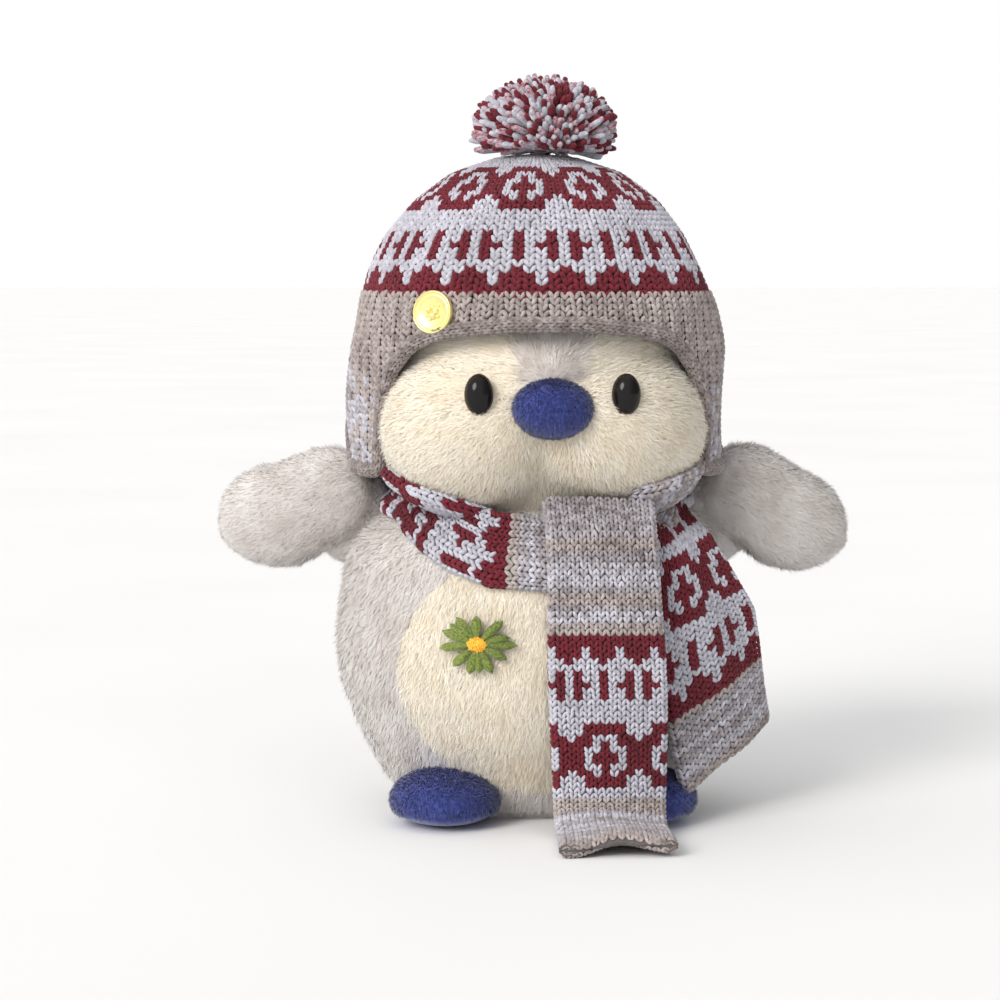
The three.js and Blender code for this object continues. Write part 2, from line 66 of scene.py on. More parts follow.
def span(node):
    """The lowest and highest corner of a CAD node, as arrays."""
    low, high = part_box(node)
    return np.array(low), np.array(high)


_, body_high = span("body_skin")
head_low, head_high = span("head_skin")
crown_low, crown_high = span("hat_crown")
pompom_low, pompom_high = span("pompom")
BODY_HALF = body_high[0]
BODY_DEPTH = body_high[1] / body_high[0]
BODY_TOP = body_high[2]
HEAD_HALF = head_high[0]
HEAD_DEPTH = head_high[1] / head_high[0]
HAT_DEPTH = crown_high[1] / crown_high[0]
BAND_TOP = crown_low[2]
BAND_FOOT = span("hat_band")[0][2]
FLAP_END = span("ear_flap_left")[0][2]
HAT_HALF = span("ear_flap_right")[1][0]


# ---- Small tools --------------------------------------------------------------------------------

def unit(v):
    return v / np.maximum(np.linalg.norm(v, axis=-1, keepdims=True), 1e-12)


def smooth_line(points, count=160):
    """An even curve through [a, b] points, rounded at the corners, as two arrays."""
    points = np.array(points, float)
    run = run_along(*points.T)
    t = np.linspace(0, run[-1], count)
    a, b = (np.interp(t, run, points[:, k]) for k in (0, 1))
    round_off(a, count // 12)
    round_off(b, count // 12)
    return a, b


def run_along(*coordinates):
    """The distance along a line at each of its points, from its coordinates' arrays."""
    steps = np.sqrt(sum(np.diff(c) ** 2 for c in coordinates))
    return np.concatenate([[0], np.cumsum(steps)])


def along_line(distance, run, *coordinates):
    """The coordinates of the points at some distances along a line."""
    return [np.interp(distance, run, c) for c in coordinates]


def heading(distance, step, run, *coordinates):
    """Which way a line runs at some distances along it: each coordinate's change over a short step."""
    return [np.interp(distance + step, run, c) - np.interp(distance - step, run, c) for c in coordinates]


def round_off(values, times):
    """Evens out an array in place, and leaves its two ends where they are."""
    for _ in range(times):
        values[1:-1] = (values[:-2] + 2 * values[1:-1] + values[2:]) / 4


def make_mesh(name, points, faces, material, slots=None, normals=None, uv=None):
    """A mesh object from arrays. faces is (n, 3) or (n, 4), where a four with its last point twice is a
    triangle; slots is each face's material number."""
    faces = np.asarray(faces, np.int32)
    sides = np.full(len(faces), faces.shape[1], np.int32)
    if faces.shape[1] == 4:
        sides -= faces[:, 2] == faces[:, 3]
    corners = faces[np.arange(faces.shape[1]) < sides[:, None]]
    mesh = bpy.data.meshes.new(name)
    mesh.vertices.add(len(points))
    mesh.vertices.foreach_set("co", np.asarray(points, np.float32).ravel())
    mesh.loops.add(len(corners))
    mesh.loops.foreach_set("vertex_index", corners)
    mesh.polygons.add(len(faces))
    mesh.polygons.foreach_set("loop_start", np.cumsum(sides) - sides)
    mesh.polygons.foreach_set("use_smooth", np.ones(len(faces), bool))
    for one in material if isinstance(material, (list, tuple)) else [material]:
        mesh.materials.append(one)
    if slots is not None:
        mesh.polygons.foreach_set("material_index", np.asarray(slots, np.int32))
    mesh.update(calc_edges=True)
    if uv is not None:
        layer = mesh.uv_layers.new(name="OFBake")
        layer.data.foreach_set("uv", np.asarray(uv, np.float32)[corners].ravel())
    if normals is not None:
        mesh.normals_split_custom_set_from_vertices(np.asarray(normals, np.float32))
    obj = bpy.data.objects.new(name, mesh)
    bpy.context.collection.objects.link(obj)
    return obj


def grid_faces(rows, columns, wrap=False):
    """The four-sided faces of a grid of rows by columns points; wrap joins the last column to the first."""
    across = columns if wrap else columns - 1
    i, j = np.meshgrid(np.arange(rows - 1), np.arange(across), indexing="ij")
    k = (j + 1) % columns
    quads = [i * columns + j, i * columns + k, (i + 1) * columns + k, (i + 1) * columns + j]
    return np.stack([q.ravel() for q in quads], axis=1)


def vertex_normals(points, faces):
    """Each point's unit normal, from the faces round it."""
    a, b, c = (points[faces[:, k]] for k in (0, 1, 2))
    flat = np.cross(b - a, c - a)
    total = np.zeros_like(points)
    for k in range(faces.shape[1]):
        np.add.at(total, faces[:, k], flat)
    return unit(total)


def merged(parts):
    """One mesh's points and faces from several."""
    starts = np.cumsum([0] + [len(points) for points, _ in parts])
    points = np.concatenate([points for points, _ in parts])
    return points, np.concatenate([faces + start for start, (_, faces) in zip(starts, parts)])


def declare(piece, body, slot, *nodes):
    """Fixes a piece to the body it rides on, and hides the CAD nodes that it stands for. slot is not used."""
    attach(piece, body)
    if nodes:
        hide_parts(*nodes)


def sew_on(piece, base):
    """Fixes a piece to its base, so that it rides with it."""
    piece.parent = base


# ---- Materials ----------------------------------------------------------------------------------

def principled(name):
    """A new node material: (material, its tree, its Principled node, its object coordinates)."""
    material = bpy.data.materials.new(name)
    material.use_nodes = True
    tree = material.node_tree
    shader = tree.nodes["Principled BSDF"]
    coordinates = tree.nodes.new("ShaderNodeTexCoord").outputs["Object"]
    return material, tree, shader, coordinates


def set_inputs(node, **values):
    """Sets a node's inputs by name, with _ for each space."""
    for name, value in values.items():
        node.inputs[name.replace("_", " ")].default_value = value


def noise_node(tree, coordinates, scale, detail=2.0):
    node = tree.nodes.new("ShaderNodeTexNoise")
    set_inputs(node, Scale=scale, Detail=detail)
    tree.links.new(coordinates, node.inputs["Vector"])
    return node.outputs["Fac"]


def math_node(tree, operation, *values):
    """A math node over sockets and plain numbers."""
    node = tree.nodes.new("ShaderNodeMath")
    node.operation = operation
    for socket, value in zip(node.inputs, values):
        if isinstance(value, float):
            socket.default_value = value
        else:
            tree.links.new(value, socket)
    return node.outputs[0]


def ramp_node(tree, value, stops):
    """A colour ramp over [position, (r, g, b)] stops."""
    node = tree.nodes.new("ShaderNodeValToRGB")
    ramp = node.color_ramp
    while len(ramp.elements) < len(stops):
        ramp.elements.new(0.5)
    for element, (position, colour) in zip(ramp.elements, stops):
        element.position = position
        element.color = (*colour, 1)
    tree.links.new(value, node.inputs["Fac"])
    return node.outputs["Color"]


def add_bump(tree, shader, coordinates, strength):
    """Fine relief, at the scale of a yarn's single fibres."""
    bump = tree.nodes.new("ShaderNodeBump")
    set_inputs(bump, Strength=strength, Distance=0.4 * MM)
    tree.links.new(noise_node(tree, coordinates, 2600), bump.inputs["Height"])
    tree.links.new(bump.outputs["Normal"], shader.inputs["Normal"])


FLECK_SHARE = 0.65             # how much of a soft material's shade is its flecks


def soft_material(name, tones, fleck=800, drift=45, rough=0.9, sheen=0.3, bump=0.0):
    """Fibre: fine flecks between the tones, and a slow drift of shade across the piece."""
    material, tree, shader, coordinates = principled(name)
    flecks = math_node(tree, "MULTIPLY", noise_node(tree, coordinates, fleck, 1.0), FLECK_SHARE)
    slow = noise_node(tree, coordinates, drift)
    mixed = math_node(tree, "MULTIPLY_ADD", slow, 1 - FLECK_SHARE, flecks)
    stops = [(0.32 + 0.36 * k / (len(tones) - 1), tone) for k, tone in enumerate(tones)]
    tree.links.new(ramp_node(tree, mixed, stops), shader.inputs["Base Color"])
    set_inputs(shader, Roughness=rough, Sheen_Weight=sheen, Sheen_Roughness=0.5, Specular_IOR_Level=0.25)
    if bump:
        add_bump(tree, shader, coordinates, bump)
    return material


def yarn_material(name, tones, fleck=420, sheen=0.3):
    return soft_material(name, tones, fleck, sheen=sheen, bump=0.6)


def shade(colour, factor):
    return tuple(min(1.0, c * factor) for c in colour)


CREAM = (0.985, 0.91, 0.77)
GREY_FUR = (0.80, 0.755, 0.725)
BLUE = (0.055, 0.075, 0.29)
BURGUNDY = (0.135, 0.012, 0.022)
YARN_WHITE = (0.455, 0.445, 0.505)
BRIM = (0.355, 0.30, 0.29)

cream_fur = soft_material("cream_fur", [(0.92, 0.82, 0.66), CREAM, (0.99, 0.93, 0.81)], 120, 40)
grey_fur = soft_material("grey_fur", [(0.70, 0.645, 0.61), GREY_FUR, (0.86, 0.83, 0.81)], 120, 40)
cream_backing = soft_material("cream_backing", [shade(CREAM, 0.8), shade(CREAM, 0.9)])
forehead_fur = soft_material(
    "forehead_fur", [(0.60, 0.53, 0.49), (0.75, 0.69, 0.65), (0.84, 0.79, 0.755)], 160, 60)
grey_backing = soft_material("grey_backing", [shade(GREY_FUR, 0.75), shade(GREY_FUR, 0.88)])
blue_pile = soft_material("blue_pile", [shade(BLUE, 0.6), BLUE, shade(BLUE, 1.7)], 700, sheen=0.5)
burgundy_yarn = yarn_material(
    "burgundy_yarn", [shade(BURGUNDY, 0.55), BURGUNDY, shade(BURGUNDY, 1.5)], 900, 0.12)
white_yarn = yarn_material("white_yarn", [shade(YARN_WHITE, 0.72), YARN_WHITE, shade(YARN_WHITE, 1.3)], 500)
grey_yarn = yarn_material(
    "grey_yarn", [(0.17, 0.14, 0.15), (0.28, 0.25, 0.265), (0.37, 0.345, 0.375), (0.50, 0.485, 0.54)])
light_yarn = yarn_material(
    "light_yarn", [(0.24, 0.22, 0.24), (0.37, 0.35, 0.385), (0.49, 0.475, 0.53), (0.61, 0.60, 0.68)])
roll_yarn = yarn_material("roll_yarn", [(0.13, 0.10, 0.10), (0.24, 0.20, 0.19), (0.38, 0.34, 0.33)])
brim_yarn = yarn_material("brim_yarn", [(0.20, 0.165, 0.15), BRIM, (0.48, 0.43, 0.41)])
burgundy_shadow = soft_material("burgundy_shadow", [(0.03, 0.004, 0.006), (0.05, 0.008, 0.01)])
white_shadow = soft_material("white_shadow", [(0.16, 0.15, 0.17), (0.24, 0.23, 0.25)])
grey_shadow = soft_material("grey_shadow", [(0.09, 0.08, 0.075), (0.13, 0.115, 0.11)])


# ---- Fur ----------------------------------------------------------------------------------------

TUFT_PULL = 0.35               # how far a strand's tip may be drawn to the middle of its tuft
FLOOR_GAP = 0.2 * MM           # fur bent flat under the penguin lies this far off the floor
FUR_LENGTH = 3.4 * MM
FUR_LEAN = 0.42                # how much a strand stands up rather than lying over, from 0 to 1
STRAND_WIDTH = 0.22 * MM
STRAY = 0.38                   # how far single strands stray from the comb
TWIST = 0.35                   # how far single blades are turned about their length
GLINT = 0.13                   # how far the strands differ in the way they catch the light
FUR_MAP_RISE = 3.5             # how much of the fur's uv a metre of height takes


def scatter(points, faces, count):
    """Random places on a mesh, spread evenly over its area: places and their smooth normals."""
    faces = np.asarray(faces)
    if faces.shape[1] == 4:
        faces = np.concatenate([faces[:, [0, 1, 2]], faces[:, [0, 2, 3]]])
    normals = vertex_normals(points, faces)
    a, b, c = (points[faces[:, k]] for k in (0, 1, 2))
    area = np.linalg.norm(np.cross(b - a, c - a), axis=1)
    chosen = faces[rng.choice(len(faces), count, p=area / area.sum())]
    s = np.sqrt(rng.random(count))[:, None]
    t = rng.random(count)[:, None]
    weights = (1 - s, s * (1 - t), s * t)
    places = sum(w * points[chosen[:, k]] for k, w in enumerate(weights))
    return places, unit(sum(w * normals[chosen[:, k]] for k, w in enumerate(weights)))


def clump(tips, roots, size):
    """Draws the strands' tips together in tufts of about size strands."""
    count = max(8, int(len(roots) / size))
    centres = rng.choice(len(roots), count, replace=False)
    tree = KDTree(count)
    for k, c in enumerate(centres):
        tree.insert(roots[c], k)
    tree.balance()
    nearest = np.array([tree.find(r)[1] for r in roots])
    target = tips[centres[nearest]]
    amount = (TUFT_PULL * rng.random(len(roots)))[:, None]
    return tips + (target - tips) * amount


def grow_fur(name, places, normals, comb, material, length=FUR_LENGTH, lean=FUR_LEAN,
             width=STRAND_WIDTH, tuft=30):
    """Strands as tapered blades: they stand out of the skin by lean and lie over towards comb."""
    count = len(places)
    lengths = (length * (0.75 + 0.5 * rng.random(count)))[:, None]
    flow = unit(comb - normals * np.sum(comb * normals, axis=1, keepdims=True))
    flow = unit(flow + STRAY * rng.normal(size=(count, 3)))
    along = unit(normals * lean + flow * (1 - lean))
    over = unit(normals * (lean * 0.55) + flow * (1 - lean * 0.45))
    middle = places + along * lengths * 0.5
    loose = middle + over * lengths * 0.5
    tips = clump(loose, places, tuft)
    middle = middle + (tips - loose) * 0.4
    side = unit(np.cross(along, normals) + TWIST * rng.normal(size=(count, 3)))
    backward = np.sum(np.cross(side, middle - places) * normals, axis=1, keepdims=True) < 0
    half = np.where(backward, -side, side) * (width / 2 * (0.7 + 0.6 * rng.random(count)))[:, None]
    rows = [places - half, places + half, middle + half * 0.85, middle - half * 0.85, tips]
    points = np.stack(rows, axis=1).reshape(-1, 3)
    points[:, 2] = np.maximum(points[:, 2], FLOOR_GAP)
    first = np.arange(count)[:, None] * 5
    faces = np.concatenate([first + [0, 1, 2], first + [0, 2, 3], first + [3, 2, 4]])
    facing = unit(normals + 0.25 * along + GLINT * rng.normal(size=(count, 3)))
    turn = np.arctan2(points[:, 0], -points[:, 1]) / TAU + 0.5
    uv = np.stack([turn, points[:, 2] * FUR_MAP_RISE], axis=1)
    return make_mesh(name, points, faces, material, normals=np.repeat(facing, 5, axis=0), uv=uv)


# ---- Filled pieces: a short cloth simulation swells each sewn shell ------------------------------

WING_SWELL = 1.5 * MM
VELOUR_SWELL = 1.2 * MM
FILL_PRESSURE = 6.0
FILL_SCALE = 10                # the cloth settings suit furniture, so a small shell is filled enlarged
FILL_FRAMES = 20


def as_modified(obj):
    """An object's points and four-sided faces, as its modifiers leave them at this frame."""
    mesh = obj.evaluated_get(bpy.context.evaluated_depsgraph_get()).to_mesh()
    points = np.array([v.co for v in mesh.vertices])
    return points, np.array([[*p.vertices, p.vertices[-1]][:4] for p in mesh.polygons])


def subdivided(points, faces):
    """A mesh smoothed by two levels of subdivision, as points and faces."""
    rough = make_mesh("rough", points, faces, [])
    rough.modifiers.new("finer", "SUBSURF").levels = 2
    finer = as_modified(rough)
    bpy.data.objects.remove(rough)
    return finer


def filled(points, faces, swell, voxel=2.5 * MM):
    """A sewn shell blown up by its filling, at the size it began with: its new points and faces.

    No point moves further than swell. voxel is the size of the cloth's mesh.
    """
    shell = make_mesh("shell", points * FILL_SCALE, faces, [])
    skin = shell.modifiers.new("skin", "REMESH")
    skin.mode = "VOXEL"
    skin.voxel_size = voxel * FILL_SCALE
    fabric = shell.modifiers.new("fabric", "CLOTH")
    fabric.settings.use_pressure = True
    fabric.settings.uniform_pressure_force = FILL_PRESSURE
    fabric.settings.effector_weights.gravity = 0
    fabric.point_cache.frame_end = FILL_FRAMES
    scene = bpy.context.scene
    scene.frame_set(1)
    empty, _ = as_modified(shell)
    for number in range(2, FILL_FRAMES + 1):
        scene.frame_set(number)
    full, quads = as_modified(shell)
    moved = (full - empty) / FILL_SCALE
    size = np.linalg.norm(moved, axis=1, keepdims=True)
    capped = empty / FILL_SCALE + moved * np.minimum(1, swell / np.maximum(size, 1e-9))
    bpy.data.objects.remove(shell)
    scene.frame_set(1)
    full, quads = subdivided(capped, quads)
    low, high = points.min(axis=0), points.max(axis=0)
    scale = (high - low) / (full.max(axis=0) - full.min(axis=0))
    return low + (full - full.min(axis=0)) * scale, quads


# ---- Body, head, wings and feet: smooth forms under the fur -------------------------------------

LUMP = 0.28 * MM               # how far the filling pushes the skin out of true
PILE = 3.0 * MM                # how far the fur stands off its backing
BACKING = 0.55 * PILE          # how far the backing lies inside the fur's outline
BODY_PROFILE = [(0.0, 0.0), (0.50, 0.0), (0.66, 0.03), (0.78, 0.13), (0.90, 0.29), (0.975, 0.44),
                (1.0, 0.60), (0.985, 0.77), (0.955, 0.89), (0.88, 0.985), (0.75, 1.06), (0.58, 1.115),
                (0.40, 1.145)]
body_r, body_z = smooth_line([(r * BODY_HALF, z * BODY_TOP) for r, z in BODY_PROFILE])


def lathe(radii, heights, depth, columns=96):
    """A surface of revolution with an oval plan: points and faces."""
    angle = np.arange(columns) / columns * TAU
    x = radii[:, None] * np.sin(angle)
    y = -radii[:, None] * depth * np.cos(angle)
    z = np.repeat(heights[:, None], columns, axis=1)
    points = np.stack([x, y, z], axis=2).reshape(-1, 3)
    return points, grid_faces(len(radii), columns, wrap=True)


def shrink(points, faces, amount):
    """Sets a form in by amount, with the slight lumps that loose filling gives."""
    x, y, z = points.T
    lumps = np.sin(95 * x + 60 * z + 1) + np.sin(110 * y - 75 * z + 2) + np.sin(140 * z + 50 * x)
    return points - vertex_normals(points, faces) * (amount + LUMP * lumps)[:, None]


body_points, body_faces = lathe(body_r, body_z, BODY_DEPTH)
body_skin_points = shrink(body_points, body_faces, BACKING)

belly_low, belly_high = span("belly_panel")
BELLY_Z = (belly_low[2] + belly_high[2]) / 2


def on_belly(p):
    """Which points lie on the cream belly panel."""
    oval = (p[:, 0] / belly_high[0]) ** 2 + ((p[:, 2] - BELLY_Z) / (belly_high[2] - BELLY_Z)) ** 2
    return (oval < 1) & (p[:, 1] < 0)


def downward(p, spread=0.25):
    """A combing direction: down, and a little outward from the middle."""
    way = np.zeros_like(p)
    way[:, 2] = -1
    way[:, 0] = spread * np.sign(p[:, 0])
    return way


base = make_mesh("body_form", body_skin_points, body_faces, [grey_backing, cream_backing],
                 slots=on_belly(body_skin_points[body_faces].mean(axis=1)))
declare(base, "toy", "grey_fur", "body_skin", "belly_panel", "body_stuffing", "pellet_bag")

BODY_STRANDS = 215000
SEAT = 4 * MM                  # below this the body is pressed to the floor, and no fur grows
BACK = 20 * MM
places, normals = scatter(body_skin_points, body_faces, BODY_STRANDS)
keep = places[:, 2] > SEAT
places, normals = places[keep], normals[keep]
belly = on_belly(places)
left = places[:, 0] < 0
behind = places[:, 1] > BACK
for name, chosen, material, slot in (
        ("body_fur_left", ~belly & left & ~behind, grey_fur, "grey_fur"),
        ("body_fur_right", ~belly & ~left & ~behind, grey_fur, "grey_fur"),
        ("body_fur_back", behind, grey_fur, "grey_fur"),
        ("belly_fur", belly, cream_fur, "cream_fur")):
    fur = grow_fur(name, places[chosen], normals[chosen], downward(places[chosen]), material, 3.5 * MM)
    sew_on(fur, base)


# The head: a skull of revolution and two full cheeks, melted together.

HEAD_MIDDLE = np.array([0.0, 0.0, (head_low[2] + head_high[2]) / 2 - 8 * MM])
SKULL_HALF = np.array([HEAD_HALF, HEAD_HALF * HEAD_DEPTH, (head_high[2] - head_low[2]) / 2])
SKULL_PROFILE = [(0.0, 0.0), (0.66, 0.0), (0.78, 0.08), (0.85, 0.16), (0.95, 0.25), (1.0, 0.35),
                 (1.0, 0.49), (0.94, 0.635), (0.81, 0.78), (0.63, 0.89), (0.37, 0.97), (0.0, 1.0)]
skull_r, skull_z = smooth_line([(r * HEAD_HALF, head_low[2] + z * (head_high[2] - head_low[2]))
                                for r, z in SKULL_PROFILE])
skull_polar = np.arctan2(skull_r, skull_z - HEAD_MIDDLE[2])[::-1]
skull_far = np.hypot(skull_r, skull_z - HEAD_MIDDLE[2])[::-1]
cheek_high = span("cheek_panel_right")[1]
CHEEK_MIDDLE = np.array([25 * MM, -33 * MM, 140 * MM])
CHEEK_HALF = np.array([33 * MM, 28 * MM, 29 * MM])
FOREHEAD_MIDDLE = np.array([0.0, -10 * MM, 165 * MM])
FOREHEAD_HALF = np.array([50 * MM, 45 * MM, 26 * MM])
HEAD_MELT = 2.2 * MM           # how softly the skull, cheeks and forehead run together


def ray_reach(origin, ways, centre, half):
    """How far rays from origin run before they leave an ellipsoid; 0 where they miss it."""
    o = (origin - centre) / half
    d = ways / half
    a, b, c = np.sum(d * d, axis=-1), np.sum(d * o, axis=-1), np.sum(o * o, axis=-1) - 1
    inside = b * b - a * c
    return np.where(inside > 0, (-b + np.sqrt(np.maximum(inside, 0))) / a, 0)


def cheek_reaches(origin, ways):
    return [ray_reach(origin, ways, CHEEK_MIDDLE * [side, 1, 1], CHEEK_HALF) for side in (-1, 1)]


def skull_reach(ways):
    """The skull's reach: its outline turned about the middle axis, and flattened front to back."""
    squeezed = ways / [1, HEAD_DEPTH, 1]
    size = np.linalg.norm(squeezed, axis=1)
    polar = np.arccos(np.clip(squeezed[:, 2] / size, -1, 1))
    return np.interp(polar, skull_polar, skull_far) / size


def melted(reaches, soft):
    """The furthest of several reaches, with the changes between them rounded."""
    return soft * np.log(sum(np.exp(reach / soft) for reach in reaches))


def head_reach(ways):
    forehead = ray_reach(HEAD_MIDDLE, ways, FOREHEAD_MIDDLE, FOREHEAD_HALF)
    return melted([skull_reach(ways), *cheek_reaches(HEAD_MIDDLE, ways), forehead], HEAD_MELT)


def star_form(reach, middle, rows=120, columns=160, shrink_by=0.0):
    """A closed round form given by its reach from the middle along every direction."""
    polar = np.linspace(0.001, math.pi - 0.001, rows)[::-1]
    angle = np.arange(columns) / columns * TAU
    p, a = np.meshgrid(polar, angle, indexing="ij")
    ways = np.stack([np.sin(p) * np.sin(a), -np.sin(p) * np.cos(a), np.cos(p)], axis=2).reshape(-1, 3)
    return middle + ways * (reach(ways) - shrink_by)[:, None], grid_faces(rows, columns, wrap=True)


def blob(centre, half, rows=48, columns=64):
    """A rounded closed form."""
    def reach(ways):
        return 1 / np.sqrt(np.sum((ways / half) ** 2, axis=1))
    return star_form(reach, centre, rows, columns)


head_points, head_faces = star_form(head_reach, HEAD_MIDDLE, shrink_by=BACKING)

# The grey wedge above the beak.
WEDGE_X = 2 * MM
WEDGE_HEIGHTS = [157 * MM, 177 * MM]
WEDGE_HALVES = [10.5 * MM, 15 * MM]
WEDGE_BLUR = 1.3 * MM          # how far single strands cross the wedge's edge
CHEEK_FRONT = -12 * MM         # the cheek panels lie before this
CHEEK_EASE = 2 * MM


def on_cheeks(p):
    """Which points lie on the cream cheek panels: the front, less the wedge above the beak."""
    half = np.interp(p[:, 2], WEDGE_HEIGHTS, WEDGE_HALVES) + rng.normal(scale=WEDGE_BLUR, size=len(p))
    face = (p[:, 1] < CHEEK_FRONT) & (p[:, 2] < cheek_high[2])
    face &= np.abs(p[:, 0]) < cheek_high[0] + CHEEK_EASE
    return face & ~((p[:, 2] > WEDGE_HEIGHTS[0]) & (np.abs(p[:, 0] - WEDGE_X) < half))


form = make_mesh("head_form", head_points, head_faces, [grey_backing, cream_backing],
                 slots=on_cheeks(head_points[head_faces].mean(axis=1)))
declare(form, "toy", "grey_fur", "head_skin", "forehead_gusset", "cheek_panel_left", "cheek_panel_right",
        "head_stuffing")

HEAD_STRANDS = 230000
UNDER_HAT = 0.35               # how much of the fur is kept where the hat hides it
GUSSET_FRONT = -25 * MM        # the forehead gusset's fur grows before this,
GUSSET_FOOT = 150 * MM         # above this
GUSSET_HALF = 22 * MM          # and this near to the middle
places, normals = scatter(head_points, head_faces, HEAD_STRANDS)
cheeks = on_cheeks(places)
wedge = ~cheeks & (places[:, 1] < GUSSET_FRONT) & (places[:, 2] > GUSSET_FOOT)
wedge &= np.abs(places[:, 0]) < GUSSET_HALF
beak_centre = (span("beak")[0] + span("beak")[1]) / 2
away = unit(places - beak_centre)
away[:, 2] -= 0.5
hidden = places[:, 2] > BAND_FOOT + 3 * MM
for name, chosen, material, length, lean in (
        ("face_fur", cheeks & ~hidden, cream_fur, FUR_LENGTH, 0.48),
        ("forehead_pile", wedge & ~hidden, forehead_fur, FUR_LENGTH, FUR_LEAN),
        ("head_fur", ~cheeks & ~hidden & ~wedge, grey_fur, 3.6 * MM, 0.38),
        ("crown_fur", hidden, grey_fur, 3.0 * MM, 0.12)):
    if name == "crown_fur":
        chosen = chosen & (rng.random(len(places)) < UNDER_HAT)
    fur = grow_fur(name, places[chosen], normals[chosen], away[chosen], material, length, lean)
    sew_on(fur, form)


# The wings: padded paddles with a round root at the shoulder hinge.

joints = {j["name"]: j for j in frame["joints"]}
hinge = np.array(joints["wing_right_flap"]["pos_m"])
WING_COLUMNS = 64
WING_FLATNESS = 0.60           # the wing's thickness over its height
WING_DROOP = {-1: 12, 1: 20}   # degrees below level, as the photograph shows each side
WING_PROFILE = [(-1.07, 0.0), (-0.99, 0.41), (-0.76, 0.76), (-0.41, 0.99), (0, 1.07), (0.28, 1.11),
                (0.56, 1.08), (0.82, 0.88), (0.99, 0.55), (1.065, 0.25), (1.09, 0.0)]
SIDES = (("left", -1), ("right", 1))


def wing_form(side):
    """Points and faces of one wing at rest, and its direction from shoulder to tip."""
    high = span("wing_right")[1]
    root = high[2] - hinge[2]
    reach = high[0] - hinge[0]
    droop = math.radians(WING_DROOP[side])
    outline = [(x * (root if x < 0 else reach), z * root) for x, z in WING_PROFILE]
    run, radius = smooth_line(outline, 60)
    angle = np.arange(WING_COLUMNS) / WING_COLUMNS * TAU
    x = np.repeat(run[:, None], WING_COLUMNS, axis=1)
    y = radius[:, None] * WING_FLATNESS * np.sin(angle)
    z = radius[:, None] * np.cos(angle)
    z = z - 1.0 * MM - 2.8 * MM * np.clip(x / (0.4 * reach), 0, 1)
    flat = np.stack([x, y, z], axis=2).reshape(-1, 3)
    turn = np.array(Matrix.Rotation(droop, 3, "Y"))
    points = flat @ turn.T
    points[:, 0] *= side
    points = points + hinge * [side, 1, 1]
    faces = grid_faces(len(run), WING_COLUMNS, wrap=True)
    if side > 0:
        faces = faces[:, ::-1]
    return points, faces, np.array([side * math.cos(droop), 0, -math.sin(droop)])


def furry_pad(part, name, points, faces, body, strands, comb, nodes=()):
    """A padded form of grey fur, with all its strands combed one way."""
    form = make_mesh(f"{part}_form_{name}", points, faces, grey_backing)
    declare(form, body, "grey_fur", *nodes)
    places, normals = scatter(points, faces, strands)
    combs = np.tile(comb, (len(places), 1))
    sew_on(grow_fur(f"{part}_fur_{name}", places, normals, combs, grey_fur), form)


for name, side in SIDES:
    points, faces, outward = wing_form(side)
    points, faces = filled(shrink(points, faces, PILE * 0.5), faces, WING_SWELL, 3 * MM)
    furry_pad("wing", name, points, faces, f"wing_{name}", 60000, outward + [0, 0, -0.25],
              [f"wing_{name}", f"wing_stuffing_{name}"])


# The shoulders: the body's fur, drawn out to meet the wings behind the scarf.

SHOULDER_OFFSET = np.array([-11, 4, -6]) * MM      # from the wing's hinge, on the right side
SHOULDER_HALF = np.array([14, 9, 19]) * MM

for name, side in SIDES:
    points, faces = blob((hinge + SHOULDER_OFFSET) * [side, 1, 1], SHOULDER_HALF)
    furry_pad("shoulder", name, points, faces, "toy", 16000, [side, 0, -0.6])


# ---- Feet and beak: short velour ----------------------------------------------------------------

SOLE_GAP = 0.6 * MM            # the feet's backing is this far off the floor
FOOT_Z = 8 * MM                # where a foot is widest
FOOT_DEPTH = 22 * MM           # half of it, front to back
BEAK_DEPTH = 13 * MM
VELOUR_WIDTH = 0.24 * MM
UNDERSIDE = -0.6               # where a form faces down more than this, no pile grows,
HIGH = 30 * MM                 # unless it is above this height, off the floor


def off_floor(points):
    points[:, 2] = np.maximum(points[:, 2], SOLE_GAP)
    return points


def velour(name, centre, half, strands, pile, *nodes):
    """A padded velour piece on the toy: its rounded form and its short upright pile."""
    points, faces = blob(centre, half)
    points, faces = filled(off_floor(points), faces, VELOUR_SWELL)
    points = off_floor(points)
    form = make_mesh(f"{name}_form", points, faces, blue_pile)
    declare(form, "toy", "blue_plush", *nodes)
    places, normals = scatter(points, faces, strands)
    shown = (normals[:, 2] > UNDERSIDE) | (places[:, 2] > HIGH)
    places, normals = places[shown], normals[shown]
    comb = np.tile([0.0, -0.3, -1.0], (len(places), 1))
    fur = grow_fur(f"{name}_pile", places, normals, comb, blue_pile, pile, 0.6, VELOUR_WIDTH, tuft=14)
    sew_on(fur, form)


for name, _ in SIDES:
    low, high = span(f"foot_{name}")
    centre = np.array([(low[0] + high[0]) / 2, low[1] + FOOT_DEPTH, FOOT_Z])
    half = np.array([(high[0] - low[0]) / 2, FOOT_DEPTH, high[2] - FOOT_Z]) - 0.8 * MM
    velour(f"foot_{name}", centre, half, 24000, 2.0 * MM, f"foot_{name}", f"sole_{name}",
           f"foot_stuffing_{name}")

low, high = span("beak")
centre = np.array([(low[0] + high[0]) / 2, low[1] + BEAK_DEPTH, (low[2] + high[2]) / 2])
half = np.array([(high[0] - low[0]) / 2, BEAK_DEPTH, (high[2] - low[2]) / 2]) - 1.0 * MM
velour("beak", centre, half, 16000, 1.9 * MM, "beak", "beak_stuffing")


# ---- Knitting: two leaf-shaped legs per stitch, laid over a plain sheet -------------------------

